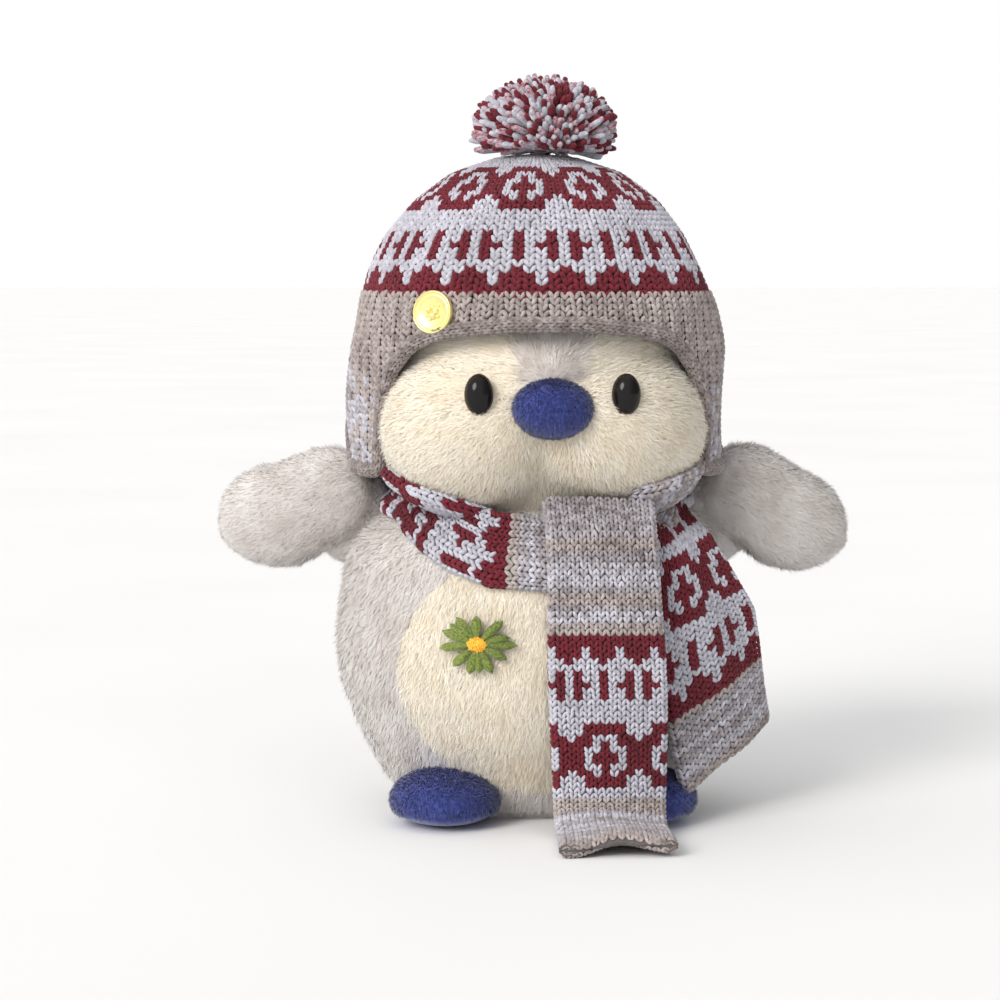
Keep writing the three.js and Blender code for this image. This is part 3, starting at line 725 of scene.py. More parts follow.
# One motif is eight stitches wide, and its rows run from the grey edge up. R is burgundy, W white,
# G grey, B the brim's brown grey, L light grey and D the rolled edge's dark grey.
ARROWS = ["RRRRRRRR", "WRRRWRRR", "WRRRWRRR", "WWRWWWRW", "WWWWWWWW", "WRWRWWRW", "WRWRWWRW",
          "RRWRRWRW", "WRWRWWRW", "WRWRWWRW"]
RING = ["RWWWRRRR", "RWWWRRRR", "RRWRRWRW", "WRRRWWRW", "WRRRWRRR", "WRRRWRRR", "WRRRWWRW",
        "RRRRRWRW", "RRWRRWWW", "RWWWRRRR", "RWWWRRRR"]
YARNS = "RWGBLD"
yarn_materials = [burgundy_yarn, white_yarn, grey_yarn, brim_yarn, light_yarn, roll_yarn]
shadow_materials = [burgundy_shadow, white_shadow] + [grey_shadow] * 4


def plain(letters):
    """Plain rows in the given yarns, bottom row first."""
    return [letter * 8 for letter in letters]


def chart_colours(chart, columns, shift=0):
    """The yarn number of every stitch, row by row, from the chart's motif rows."""
    motif = np.array([[YARNS.index(letter) for letter in row] for row in chart])
    return motif[:, (np.arange(columns) + shift) % motif.shape[1]]


# A leg is an open dome: a point, three half rings of five points, and a point.
LEG_T = np.array([0.16, 0.5, 0.84])
LEG_WIDE = np.array([0.72, 1.0, 0.78])
LEG_ROUND = np.linspace(0, math.pi, 5)
LEG_HEIGHT = 0.85 * MM
LEG_POINTS = 17
LEG_FACES = 24


def repeated(one, size, count):
    """The faces of count equal pieces, from one piece's faces and its number of points."""
    one = np.array(one)
    return (np.arange(count)[:, None, None] * size + one).reshape(-1, one.shape[1])


def leg_faces(count):
    one = []
    for m in range(4):
        one.append([0, 2 + m, 1 + m])
        for a in (1 + m, 6 + m):
            one += [[a, a + 1, a + 6], [a, a + 6, a + 5]]
        one.append([11 + m, 12 + m, 16])
    return repeated(one, LEG_POINTS, count)


def knit_stitches(place, yarns, wide, high, rib=0, shown=None):
    """Points, faces, face yarns and uv of a field of stitches; wide and high are leg sizes in metres.

    place(column, row) gives points and outward normals. rib > 0 sinks every other column by that much.
    """
    rows, columns = yarns.shape
    i, j = (k.ravel() for k in np.indices(yarns.shape))
    yarn = yarns.ravel()
    if shown is not None:
        keep = shown(j + 0.5, i + 0.5)
        i, j, yarn = i[keep], j[keep], yarn[keep]
    parts = []
    for side in (-1, 1):
        t = np.concatenate([[0], np.repeat(LEG_T, 5), [1]])
        half = np.concatenate([[0], np.outer(LEG_WIDE, np.cos(LEG_ROUND)).ravel(), [0]]) * wide
        up = np.concatenate([[0], np.outer(LEG_WIDE, np.sin(LEG_ROUND)).ravel(), [0]]) * high
        jitter = rng.normal(scale=0.045, size=(len(i), 2))
        c = (j + 0.5 + jitter[:, 0])[:, None] + side * (0.06 + 0.36 * t) + half
        r = (i + jitter[:, 1])[:, None] - 0.28 + 1.42 * t + 0.10 * half * side
        lift = up + 0.35 * high * t
        sunk = (j % 2)[:, None] * rib
        points, normals = place(c, r)
        points = points + normals * (lift[None, :] - sunk)[..., None]
        u = (j + 0.5)[:, None] + side * 0.24 + half * 0.6
        v = i[:, None] + 0.08 + 0.84 * t
        uv = np.stack([u / columns, v / rows], axis=2)
        parts.append((points.reshape(-1, 3), uv.reshape(-1, 2)))
    points, uv = (np.concatenate(both) for both in zip(*parts))
    return points, leg_faces(2 * len(i)), np.repeat(np.tile(yarn, 2), LEG_FACES), uv


def fabric_sheet(place, yarns, fine=1, sink=0.3 * MM, shown=None, capped=False):
    """The plain cloth under the stitches, closed all round, in the shadow tones of the same yarns.

    fine is how many faces there are per stitch, each way. A capped tube is closed at both ends.
    """
    rows, columns = yarns.shape
    r, c = np.meshgrid(np.linspace(0, rows, rows * fine + 1),
                       np.linspace(0, columns, columns * fine + 1), indexing="ij")
    points, normals = place(c, r)
    points = (points - normals * sink).reshape(-1, 3)
    same = np.arange(len(points)).reshape(c.shape)
    same[:, -1] = same[:, 0]
    faces = same.ravel()[grid_faces(*c.shape)]
    colours = np.repeat(np.repeat(yarns, fine, axis=0), fine, axis=1).ravel()
    uv = np.stack([c.ravel() / columns, r.ravel() / rows], axis=1)
    if capped:
        for ring in (faces[:columns * fine, :2], faces[-columns * fine:, [2, 3]]):
            points = np.concatenate([points, points[ring[:, 0]].mean(axis=0, keepdims=True)])
            uv = np.concatenate([uv, uv[ring[:1, 0]]])
            middle = np.full(len(ring), len(points) - 1)
            faces = np.concatenate([faces, np.stack([ring[:, 1], ring[:, 0], middle, middle], axis=1)])
            colours = np.concatenate([colours, colours[:1].repeat(len(ring))])
    if shown is not None:
        half = 0.5 / fine
        keep = shown(c[:-1, :-1].ravel() + half, r[:-1, :-1].ravel() + half)
        faces, colours = faces[keep], colours[keep]
    return points, faces, colours, uv


def knit_mesh(name, fields, materials):
    """One mesh from several fields of stitches or sheets of cloth."""
    points, faces = merged([field[:2] for field in fields])
    slots, uv = (np.concatenate([field[k] for field in fields]) for k in (2, 3))
    return make_mesh(name, points, faces, materials, slots=slots, uv=uv)


# ---- The hat ------------------------------------------------------------------------------------

HAT_PROFILE = [(0.99, 118), (1.014, 146), (1.007, 168), (0.963, 184), (0.90, 196), (0.80, 209),
               (0.66, 221), (0.47, 230.5), (0.22, 236), (0.02, 237)]
hat_r, hat_z = smooth_line([(r * HAT_HALF, z * MM) for r, z in HAT_PROFILE], 240)
hat_run = run_along(hat_r, hat_z)
HAT_RIPPLE = 0.5 * MM
PLAIN_TOP = 15 * MM            # the ripple stops this near to the hat's middle


def hat_surface(angle, run, swell=0.0):
    """A point of the hat at an angle from the front and a distance up its outline, and the normal."""
    r, z = along_line(run, hat_run, hat_r, hat_z)
    dr, dz = heading(run, MM, hat_run, hat_r, hat_z)
    ripple = HAT_RIPPLE * (np.sin(3 * angle + 90 * z) + np.sin(7 * angle - 130 * z + 1))
    r = r + swell + np.where(r > PLAIN_TOP, ripple, 0)
    points = np.stack([r * np.sin(angle), -r * HAT_DEPTH * np.cos(angle), z], axis=-1)
    normals = np.stack([dz * np.sin(angle), -dz / HAT_DEPTH * np.cos(angle), -dr + 0 * angle], axis=-1)
    return points, unit(normals)


def run_at(height):
    return np.interp(height, hat_z, hat_run)


CROWN_ROW = 2.3 * MM
CROWN_PARTS = ((0, 27, 88), (27, 33, 44), (33, None, 22))      # first row, last row and stitches round
crown_start = run_at(BAND_TOP) - 0.5 * MM
crown_rows = int((hat_run[-1] - crown_start) / CROWN_ROW)
crown_chart = plain("R") + ARROWS + plain("WWWW") + RING
crown_chart = crown_chart + plain("W") * (crown_rows - len(crown_chart))
KNIT_SWELL = -1.3 * MM


def crown_place(columns, first_row):
    def place(column, row):
        return hat_surface(column / columns * TAU, crown_start + (row + first_row) * CROWN_ROW, KNIT_SWELL)
    return place


stitch_fields, sheet_fields = [], []
for first, last, columns in CROWN_PARTS:
    yarns = chart_colours(crown_chart[first:last], columns, shift=1)
    place = crown_place(columns, first)
    wide = 0.25 if columns > 40 else 0.3
    stitch_fields.append(knit_stitches(place, yarns, wide, LEG_HEIGHT))
    sheet_fields.append(fabric_sheet(place, yarns))
crown = knit_mesh("hat_crown_cloth", sheet_fields, shadow_materials)
crown_stitches = knit_mesh("hat_crown_stitches", stitch_fields, yarn_materials)
declare(crown, "hat", "patterned_knit", "hat_crown")
sew_on(crown_stitches, crown)

# The ribbed band and the two ear flaps are one piece of grey knitting, cut away over the face.

BAND_COLUMNS = 104
BAND_ROW = 2.2 * MM
band_start = run_at(FLAP_END)
band_rows = int((crown_start + 2 * MM - band_start) / BAND_ROW)
BRIM_FOOT = BAND_FOOT + 5 * MM
OPENING_Z = [0.10, 0.150, 0.161, 0.169, 0.1745, BRIM_FOOT]
OPENING_HALF = [58 * MM, 58 * MM, 55 * MM, 49 * MM, 39 * MM, 14 * MM]
HEM_Y = [-12 * MM, 4 * MM, 18 * MM, 28 * MM, 50 * MM]
HEM_Z = [FLAP_END, 130 * MM, 145 * MM, 156 * MM, 162 * MM]


def band_place(column, row):
    run = band_start + row * BAND_ROW
    return hat_surface(column / BAND_COLUMNS * TAU, run, KNIT_SWELL * 0.6)


def opening_half(z):
    """How wide the face opening is at a height."""
    return np.where(z < BRIM_FOOT, np.interp(z, OPENING_Z, OPENING_HALF), 0)


def on_flaps(column, row):
    x, y, z = np.moveaxis(band_place(column, row)[0], -1, 0)
    opening = (np.abs(x) < opening_half(z)) & (y < 0)
    return ~opening & (z > np.interp(y, HEM_Y, HEM_Z))


# The band is brown grey, and the flaps are light with grey flecks, browner upwards and by the face.
band_yarns = np.full((band_rows, BAND_COLUMNS), YARNS.index("B"))
flap_rows = int((run_at(BAND_FOOT) - band_start) / BAND_ROW)
flaps = band_yarns[:flap_rows]
flaps[:] = YARNS.index("L")
flaps[rng.random(flaps.shape) < 0.35] = YARNS.index("G")
height = np.arange(flap_rows)[:, None] / flap_rows
angles = np.abs((np.arange(BAND_COLUMNS) + 0.5) / BAND_COLUMNS * TAU - math.pi)
near_face = np.clip((angles - math.radians(92)) / math.radians(25), 0, 1)
browner = np.clip(2.2 * height - 1.3, 0, 1) + near_face * np.clip(0.2 + height, 0, 1)
flaps[rng.random(flaps.shape) < browner] = YARNS.index("B")
cloth = fabric_sheet(band_place, band_yarns, fine=3, sink=0.8 * MM, shown=on_flaps)
band = knit_mesh("hat_band_cloth", [cloth], shadow_materials)
stitches = knit_stitches(band_place, band_yarns, 0.25, 0.9 * MM, rib=0.5 * MM, shown=on_flaps)
band_stitches = knit_mesh("hat_band_stitches", [stitches], yarn_materials)


def rolled_edge():
    """The hem's centre line: a closed loop of points with the fabric's outward normals."""
    run = np.linspace(run_at(BRIM_FOOT), run_at(FLAP_END) + 1 * MM, 60)
    r, z = along_line(run, hat_run, hat_r, hat_z)
    side = np.arcsin(np.clip(opening_half(np.minimum(z, BRIM_FOOT - 1e-6)) / r, 0, 1))
    brow = np.linspace(0, side[0], 12)[:-1]
    low = np.linspace(side[-1], math.pi, 70)[1:]
    y = -np.interp(run_at(0.145), hat_run, hat_r) * HAT_DEPTH * np.cos(low)
    angles = np.concatenate([brow, side, low])
    runs = np.concatenate([np.full(len(brow), run[0]), run, run_at(np.interp(y, HEM_Y, HEM_Z))])
    round_off(angles, 3)
    round_off(runs, 3)
    angles = np.concatenate([angles, TAU - angles[-2:0:-1]])
    runs = np.concatenate([runs, runs[-2:0:-1]])
    return hat_surface(angles, runs, KNIT_SWELL * 0.8)


EDGE_COLUMNS = 7
EDGE_ROW = 2.3 * MM
EDGE_RADIUS = 2.0 * MM
edge_points, edge_normals = (np.concatenate([a, a[:1]]) for a in rolled_edge())
edge_run = run_along(*edge_points.T)
edge_rows = int(edge_run[-1] / EDGE_ROW)


def edge_place(column, row):
    """Places stitches round the soft roll of fabric that follows the hem."""
    s = row / edge_rows * edge_run[-1]
    here, ahead, normal = (
        np.stack(along_line(np.mod(at, edge_run[-1]), edge_run, *line.T), axis=-1)
        for at, line in ((s, edge_points), (s + 2 * MM, edge_points), (s, edge_normals)))
    normal = unit(normal)
    across = unit(np.cross(unit(ahead - here), normal))
    angle = column / EDGE_COLUMNS * TAU
    way = normal * np.cos(angle)[..., None] + across * np.sin(angle)[..., None]
    return here + way * EDGE_RADIUS, way


edge_yarns = np.full((edge_rows, EDGE_COLUMNS), YARNS.index("D"))
stitches = knit_stitches(edge_place, edge_yarns, 0.3, 0.7 * MM)
edge = knit_mesh("hat_edge_stitches", [stitches], yarn_materials)
cloth = fabric_sheet(edge_place, edge_yarns)
edge_core = knit_mesh("hat_edge_core", [cloth], shadow_materials)
declare(band, "hat", "grey_knit", "hat_band", "ear_flap_left", "ear_flap_right")
for one in (band_stitches, edge, edge_core):
    sew_on(one, band)


# ---- The scarf: one flattened knitted tube, wound once round the neck ---------------------------

SCARF_WIDTH = 41 * MM
SCARF_THICK = 4 * MM
SCARF_ROW = 2.05 * MM
PINCH = 5 * MM                 # how far from its end a tube is drawn flat


def stadium(q, flat):
    """Round a flattened tube: the offset across, the offset outward and the way the skin faces."""
    r = SCARF_THICK / 2
    arc = math.pi * r
    q = np.mod(q, 2 * (flat + arc))
    sides = [q < flat, q < flat + arc, q < 2 * flat + arc]
    turn = np.select(sides, [0, (q - flat) / r, math.pi], math.pi + (q - 2 * flat - arc) / r)
    x = np.select(sides, [q - flat / 2, flat / 2, 1.5 * flat + arc - q], -flat / 2)
    return x + r * np.sin(turn), r * np.cos(turn), turn


def knitted_tube(name, surface, chart, columns, shift, width, length, both_ends=False):
    """A scarf piece: its cloth and its stitches, as two meshes.

    surface(s, x) gives a point, and the ways across and out, at a distance s from the hem and an offset x
    across. The hem is pinched together, and so is the other end if both_ends.
    """
    flat = width - SCARF_THICK

    def place(column, row):
        s = row * SCARF_ROW
        from_end = np.minimum(s, length - s) if both_ends else s
        pinch = np.clip(0.25 + from_end / PINCH, 0.1, 1)
        x, out, turn = stadium(column / columns * 2 * (flat + math.pi * SCARF_THICK / 2), flat)
        p, across, outward = surface(s, x)
        n = across * np.sin(turn)[..., None] + outward * np.cos(turn)[..., None]
        return p + outward * (out * pinch)[..., None], n

    yarns = chart_colours(chart[:int(length / SCARF_ROW)], columns, shift)
    sheet = fabric_sheet(place, yarns, capped=True)
    cloth = knit_mesh(f"{name}_cloth", [sheet], shadow_materials)
    field = knit_stitches(place, yarns, 0.25, LEG_HEIGHT)
    stitches = knit_mesh(f"{name}_stitches", [field], yarn_materials)
    return cloth, stitches


PATTERN_UP = plain("WW") + RING + plain("WWWW") + ARROWS[::-1] + plain("R")
PATTERN_DOWN = plain("R") + ARROWS + plain("WWWW") + RING + plain("WW")
FRONT_COLUMNS = 28
TAIL_X = 19.5 * MM
TAIL_PATH = [(-104, 4.3), (-95, 4.9), (-84, 4.3), (-74, 4.6), (-67.5, 7.0), (-64.8, 13), (-64.0, 30),
             (-64.4, 70), (-64.0, 92), (-61.5, 105), (-50, 116)]
tail_y, tail_z = smooth_line([(y * MM, z * MM) for y, z in TAIL_PATH], 240)
tail_run = run_along(tail_y, tail_z)
TAIL_LENGTH = float(tail_run[-1])
NOTCH = 3.5 * MM               # how far the hem's middle is drawn up
NOTCH_REACH = 9 * MM
TAIL_WAVE = 0.7 * MM           # the slow waves along the tail
HEM_WAVE = 1.0 * MM            # the hem's own closer waves,
HEM_REACH = 20 * MM            # which fade over this length
TAIL_DRIFT = 1.5 * MM          # how far the tail sways to the side


def front_tail_surface(s, x):
    notch = NOTCH * np.exp(-(s / NOTCH_REACH) ** 2) * np.cos((x - 1 * MM) / SCARF_WIDTH * TAU)
    t = np.clip(s + notch, 0, TAIL_LENGTH)
    y, z = along_line(t, tail_run, tail_y, tail_z)
    dy, dz = heading(t, 2 * MM, tail_run, tail_y, tail_z)
    size = np.hypot(dy, dz)
    outward = np.stack([0 * t, -dz / size, dy / size], axis=-1)
    wave = TAIL_WAVE * np.sin(x / (9 * MM) + 60 * s)
    wave = wave + HEM_WAVE * np.exp(-s / HEM_REACH) * np.cos(x / (5.2 * MM))
    squeeze = 0.94 - 0.03 * np.sin(s / TAIL_LENGTH * 9)
    drift = TAIL_DRIFT * np.sin(s / TAIL_LENGTH * 4 + 0.4)
    point = np.stack([TAIL_X + x * squeeze + drift, y, z], axis=-1)
    across = np.zeros_like(point)
    across[..., 0] = 1
    return point + outward * wave[..., None], across, outward


tail_rows = int(TAIL_LENGTH / SCARF_ROW)
front_chart = plain("BBGGBGGLGGLLGGGLLGBBB") + PATTERN_UP + plain("BBLLGBBGLLLLGGBB")
front_chart = front_chart + plain("G" * (tail_rows - len(front_chart)))
front, front_stitches = knitted_tube(
    "scarf_front", front_tail_surface, front_chart, FRONT_COLUMNS, 1, SCARF_WIDTH, TAIL_LENGTH)
for one in (front, front_stitches):
    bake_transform(one)
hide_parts("scarf_front_tail", "scarf_front_end")


# The turn round the neck: it lies on the shoulders and under the chin.

def body_reach(angle, z):
    r = np.interp(z, body_z, body_r) * (z < body_z[-1])
    return r / np.sqrt(np.sin(angle) ** 2 + (np.cos(angle) / BODY_DEPTH) ** 2)


SKULL_MIDDLE = np.array([0, 0, (head_low[2] + head_high[2]) / 2])
NECK_RADIUS = 50 * MM
NECK_DEPTH = 0.9
NECK_MELT = 2.5 * MM


def neck_reach(angle, z):
    """The outermost of body, head and neck at an angle and height, blended softly."""
    axis = np.stack([0 * z, 0 * z, z], axis=-1)
    level = np.stack([np.sin(angle), -np.cos(angle), 0 * angle], axis=-1)
    skull = ray_reach(axis, level, SKULL_MIDDLE, SKULL_HALF)
    neck = NECK_RADIUS * np.sqrt(np.sin(angle) ** 2 + (NECK_DEPTH * np.cos(angle)) ** 2)
    return melted([body_reach(angle, z), skull, neck, *cheek_reaches(axis, level)], NECK_MELT)


WRAP_START = math.radians(30)
WRAP_END = math.radians(374)
WRAP_WIDTH = 24 * MM
WRAP_COLUMNS = 18
WRAP_OFF = 3 * MM              # the middle of the turn is about this far off the neck
WRAP_RAISE = 4 * MM            # how much higher the turn's start lies than its end
NARROWED = ([0.6, 1.2], [1.0, 0.82])       # the turn is narrower at the sides and back
CREASE = 1.0 * MM
PLEAT = 0.8 * MM
WRAP_ANGLES = [0, 0.35, 0.8, 1.1, 1.6, math.pi]
WRAP_HEIGHTS = [97 * MM, 98.5 * MM, 109.5 * MM, 118 * MM, 121 * MM, 120 * MM]


def from_front(angle):
    return np.abs(np.mod(angle + math.pi, TAU) - math.pi)


def wrap_height(angle):
    raised = WRAP_RAISE * np.clip((math.radians(90) - angle) / math.radians(60), 0, 1)
    return np.interp(from_front(angle), WRAP_ANGLES, WRAP_HEIGHTS) + raised


wrap_angles = np.linspace(WRAP_START, WRAP_END, 400)
wrap_line = neck_reach(wrap_angles, wrap_height(wrap_angles)) + WRAP_OFF
wrap_xy = np.stack([wrap_line * np.sin(wrap_angles), wrap_line * np.cos(wrap_angles),
                    wrap_height(wrap_angles)])
wrap_run = run_along(*wrap_xy)
WRAP_LENGTH = float(wrap_run[-1])


def wrap_point(s, x):
    angle = np.interp(s, wrap_run, wrap_angles)
    crease = CREASE * np.sin(x / (2.6 * MM) + angle * 2) + PLEAT * np.sin(9 * angle)
    z = wrap_height(angle) - x * np.interp(from_front(angle), *NARROWED)
    r = neck_reach(angle, z) + SCARF_THICK / 2 - 0.3 * MM + crease
    return np.stack([r * np.sin(angle), -r * np.cos(angle), z], axis=-1)


def surface_of(point):
    """Makes a surface for knitted_tube from the function that gives its points."""
    def surface(s, x):
        across = unit(point(s, x + MM) - point(s, x - MM))
        along = unit(point(s + MM, x) - point(s - MM, x))
        return point(s, x), across, unit(np.cross(across, along))
    return surface


wrap_rows = int(WRAP_LENGTH / SCARF_ROW)
wrap_start = plain("GLGBGLLGBGLGBBGG")
wrap_end = PATTERN_UP + plain("BBGGLGGBBGGGG")
filler = (PATTERN_DOWN + plain("G" * 12)) * 5
wrap_chart = wrap_start + filler[:wrap_rows - len(wrap_start) - len(wrap_end)] + wrap_end
wrap, wrap_stitches = knitted_tube("scarf_wrap", surface_of(wrap_point), wrap_chart, WRAP_COLUMNS, 0,
                                   WRAP_WIDTH, WRAP_LENGTH, both_ends=True)
for one in (wrap, wrap_stitches):
    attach(one, "toy")
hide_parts("scarf_wrap")


# The other end comes out from under the turn and hangs over the right side of the belly.

SIDE_CENTRE = [(39, 113), (44, 101), (49, 88), (54, 70), (58, 52), (61.5, 32), (64, 21)]
side_x, side_z = smooth_line([(x * MM, z * MM) for x, z in SIDE_CENTRE[::-1]], 200)
side_run = run_along(side_x, side_z)
SIDE_LENGTH = float(side_run[-1])
GIRTH_Z = 58 * MM
LEAVING = 0.78                 # how far round the body the tail follows it
HEM_LEAN = math.radians(31)    # how far the hem is turned in the plane of the belly
LESS_LEAN = math.radians(12)   # how much less the top is turned
GATHER = 0.45                  # how much of its width the tail loses under the turn,
GATHER_START = 45 * MM         # from this far above the hem
GATHER_LENGTH = 30 * MM
SIDE_OFF = 4.2 * MM            # the tail's middle is this far off the body's skin
SIDE_FOLD = 0.9 * MM
TUCK = 5.5 * MM                # how far its top end sinks in, to lie under the turn,
TUCK_Z = 99 * MM               # above this height
TUCK_RISE = 8 * MM


def side_tail_point(s, x):
    cx, cz = along_line(s, side_run, side_x, side_z)
    lean = HEM_LEAN - LESS_LEAN * s / SIDE_LENGTH
    gather = 1 - GATHER * np.clip((s - GATHER_START) / GATHER_LENGTH, 0, 1)
    px = cx + x * gather * np.cos(lean)
    pz = cz + x * gather * np.sin(lean)
    r = np.interp(np.maximum(pz, GIRTH_Z), body_z, body_r)
    level = np.minimum(np.abs(px), LEAVING * r)
    slope = BODY_DEPTH * LEAVING / math.sqrt(1 - LEAVING ** 2)
    y = -BODY_DEPTH * np.sqrt(r * r - level * level) + (np.abs(px) - level) * slope
    fold = SIDE_FOLD * np.sin(x / (4.5 * MM) + 40 * s)
    away = np.stack([level / r, -np.sqrt(1 - (level / r) ** 2) / BODY_DEPTH, 0 * px], axis=-1)
    tuck = TUCK * np.clip((pz - TUCK_Z) / TUCK_RISE, 0, 1)
    offset = (SIDE_OFF + fold - tuck)[..., None]
    return np.stack([px, y, pz], axis=-1) + unit(away) * offset


side_rows = int(SIDE_LENGTH / SCARF_ROW)
side_chart = plain("BBGLLGGLGGLGB") + plain("R") + ARROWS + plain("WWW") + RING + plain("WW")
side_chart = side_chart + ARROWS[2::-1] + plain("G") * side_rows
side, side_stitches = knitted_tube("scarf_side", surface_of(side_tail_point), side_chart, FRONT_COLUMNS,
                                   3, SCARF_WIDTH, SIDE_LENGTH)
for one in (side, side_stitches):
    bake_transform(one)
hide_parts("scarf_side_tail")


# ---- The pompom ---------------------------------------------------------------------------------

yarn_marl = yarn_material(
    "marled_yarn", [shade(BURGUNDY, 1.1), (0.42, 0.22, 0.26), YARN_WHITE, (0.30, 0.08, 0.11)], 700)

YARN_COUNT = 1000
YARN_RADIUS = 1.2 * MM
YARN_SHARES = [0.36, 0.34, 0.30]       # how much of the pompom is burgundy, white and marled
YARN_SIDES = 5
YARN_STEPS = (0.0, 0.35, 0.7, 0.93, 1.0)
YARN_SWELL = (0.55, 0.8, 1.0, 1.05, 0.7)       # a yarn's thickness at each step
GOLDEN = math.pi * (1 + math.sqrt(5))          # the turn between points spread evenly in a spiral


def yarn_tubes(starts, ends, bend):
    """Short cut yarns as tubes that swell towards their cut end: points, faces and faces per yarn."""
    reach = np.linalg.norm(ends - starts, axis=1, keepdims=True)
    ways = unit(ends - starts)
    across = unit(np.cross(ways, rng.normal(size=ways.shape)))
    other = np.cross(ways, across)
    rings = []
    for t, swell in zip(YARN_STEPS, YARN_SWELL):
        centre = starts + ways * reach * t + across * bend * t * t
        for angle in np.arange(YARN_SIDES) / YARN_SIDES * TAU:
            rings.append(centre + (across * math.cos(angle) + other * math.sin(angle)) * YARN_RADIUS * swell)
    tips = starts + ways * reach * 1.02 + across * bend
    points = np.stack(rings + [tips], axis=1)
    tip = len(rings)
    one = []
    for a, b, c, d in grid_faces(len(YARN_STEPS), YARN_SIDES, wrap=True):
        one += [[a, b, c], [a, c, d]]
    for k in range(YARN_SIDES):
        one.append([tip - YARN_SIDES + k, tip - YARN_SIDES + (k + 1) % YARN_SIDES, tip])
    return points.reshape(-1, 3), repeated(one, tip + 1, len(starts)), len(one)


POMPOM_SHIFT = np.array([3, 0, -6]) * MM
POMPOM_SCALE = [0.97, 0.97, 1.15]
TILT_ROOM = 3.2 * MM           # how far the lowest yarns stay off the hat, which leaves room to tilt,
TILT_RISE = 0.14               # and how much further for each metre out from the middle
pompom_middle = (pompom_low + pompom_high) / 2 + POMPOM_SHIFT
pompom_half = (pompom_high - pompom_low) / 2 * POMPOM_SCALE
root = np.array([6 * MM, -10 * MM, pompom_low[2] + 1.5 * MM])
index = np.arange(YARN_COUNT) + 0.5
level = 1 - 2 * index / YARN_COUNT
flat = np.sqrt(1 - level ** 2)
ends = np.stack([flat * np.cos(index * GOLDEN), flat * np.sin(index * GOLDEN), level], axis=1)
ends = pompom_middle + ends * pompom_half * (1 + 0.035 * rng.normal(size=(YARN_COUNT, 1)))
outward = np.hypot(ends[:, 0], ends[:, 1])
crown_under = np.interp(-outward, -hat_r, hat_z)
ends[:, 2] = np.maximum(ends[:, 2], crown_under + TILT_ROOM + TILT_RISE * outward)
starts = root + (ends - root) * 0.08 + rng.normal(scale=0.6 * MM, size=(YARN_COUNT, 3))
bend = rng.normal(scale=1.2 * MM, size=(YARN_COUNT, 1))
points, faces, each = yarn_tubes(starts, ends, bend)
kinds = rng.choice(3, YARN_COUNT, p=YARN_SHARES)
uv = np.stack([points[:, 0] * 8 + 0.5, points[:, 1] * 8 + 0.5], axis=1)
pompom = make_mesh("pompom_yarns", points, faces, [burgundy_yarn, white_yarn, yarn_marl],
                   slots=np.repeat(kinds, each), uv=uv)
declare(pompom, "pompom", "pompom_yarn", "pompom")


# ---- Eyes, daisy, button and label --------------------------------------------------------------

def plain_material(name, colour, rough, metal=0.0, specular=0.5, variation=0.08):
    """Plastic, metal or satin, with a slight variation in its shade."""
    material, tree, shader, coordinates = principled(name)
    stops = [(0.35, shade(colour, 1 - variation)), (0.65, shade(colour, 1 + variation))]
    tree.links.new(ramp_node(tree, noise_node(tree, coordinates, 300), stops), shader.inputs["Base Color"])
    set_inputs(shader, Roughness=rough, Metallic=metal, Specular_IOR_Level=specular)
    return material


eye_black = plain_material("eye_black", (0.008, 0.007, 0.007), 0.14, specular=0.22)
eye_rim = plain_material("eye_rim", (0.030, 0.014, 0.008), 0.35, specular=0.2)
gold = plain_material("gold", (0.93, 0.80, 0.33), 0.28, metal=0.85, variation=0.06)
satin = plain_material("label_satin", (0.82, 0.82, 0.80), 0.4, variation=0.04)

EYE_DEPTH = 4.2 * MM
EYE_SHIFT = 1.5 * MM           # the photograph's eyes sit this far to the right of the frame's
EYE_SINK = 3.2 * MM            # from an eye's front to its middle
RIM_START = 0.86               # past this share of its area, an eye shows its brown rim

for name, _ in SIDES:
    low, high = span(f"eye_{name}")
    half = np.array([(high[0] - low[0]) / 2, EYE_DEPTH, (high[2] - low[2]) / 2])
    centre = np.array([(low[0] + high[0]) / 2 + EYE_SHIFT, low[1] + EYE_SINK, (low[2] + high[2]) / 2])
    points, faces = blob(centre, half * 1.07, rows=40, columns=48)
    x, _, z = ((points[faces].mean(axis=1) - centre) / half).T
    eye = make_mesh(f"eye_dome_{name}", points, faces, [eye_black, eye_rim], slots=x * x + z * z > RIM_START)
    declare(eye, "toy", "eye_plastic", f"eye_{name}")


petal_green = soft_material(
    "petal_green", [(0.05, 0.08, 0.010), (0.15, 0.20, 0.025), (0.27, 0.33, 0.07)], 1400, sheen=0.4, rough=0.5)
heart_orange = soft_material(
    "heart_orange", [(0.60, 0.22, 0.01), (0.85, 0.42, 0.02), (0.95, 0.62, 0.06)], 1400, sheen=0.4, rough=0.5)
petal_low, petal_high = span("daisy_petals")
daisy = (petal_low + petal_high) / 2


def belly_front(x, z, off):
    """The point in front of the belly's skin at x and z."""
    r = np.interp(z, body_z, body_r)
    return np.stack([x, -BODY_DEPTH * np.sqrt(np.maximum(r * r - x * x, 0)) - off, z], axis=-1)


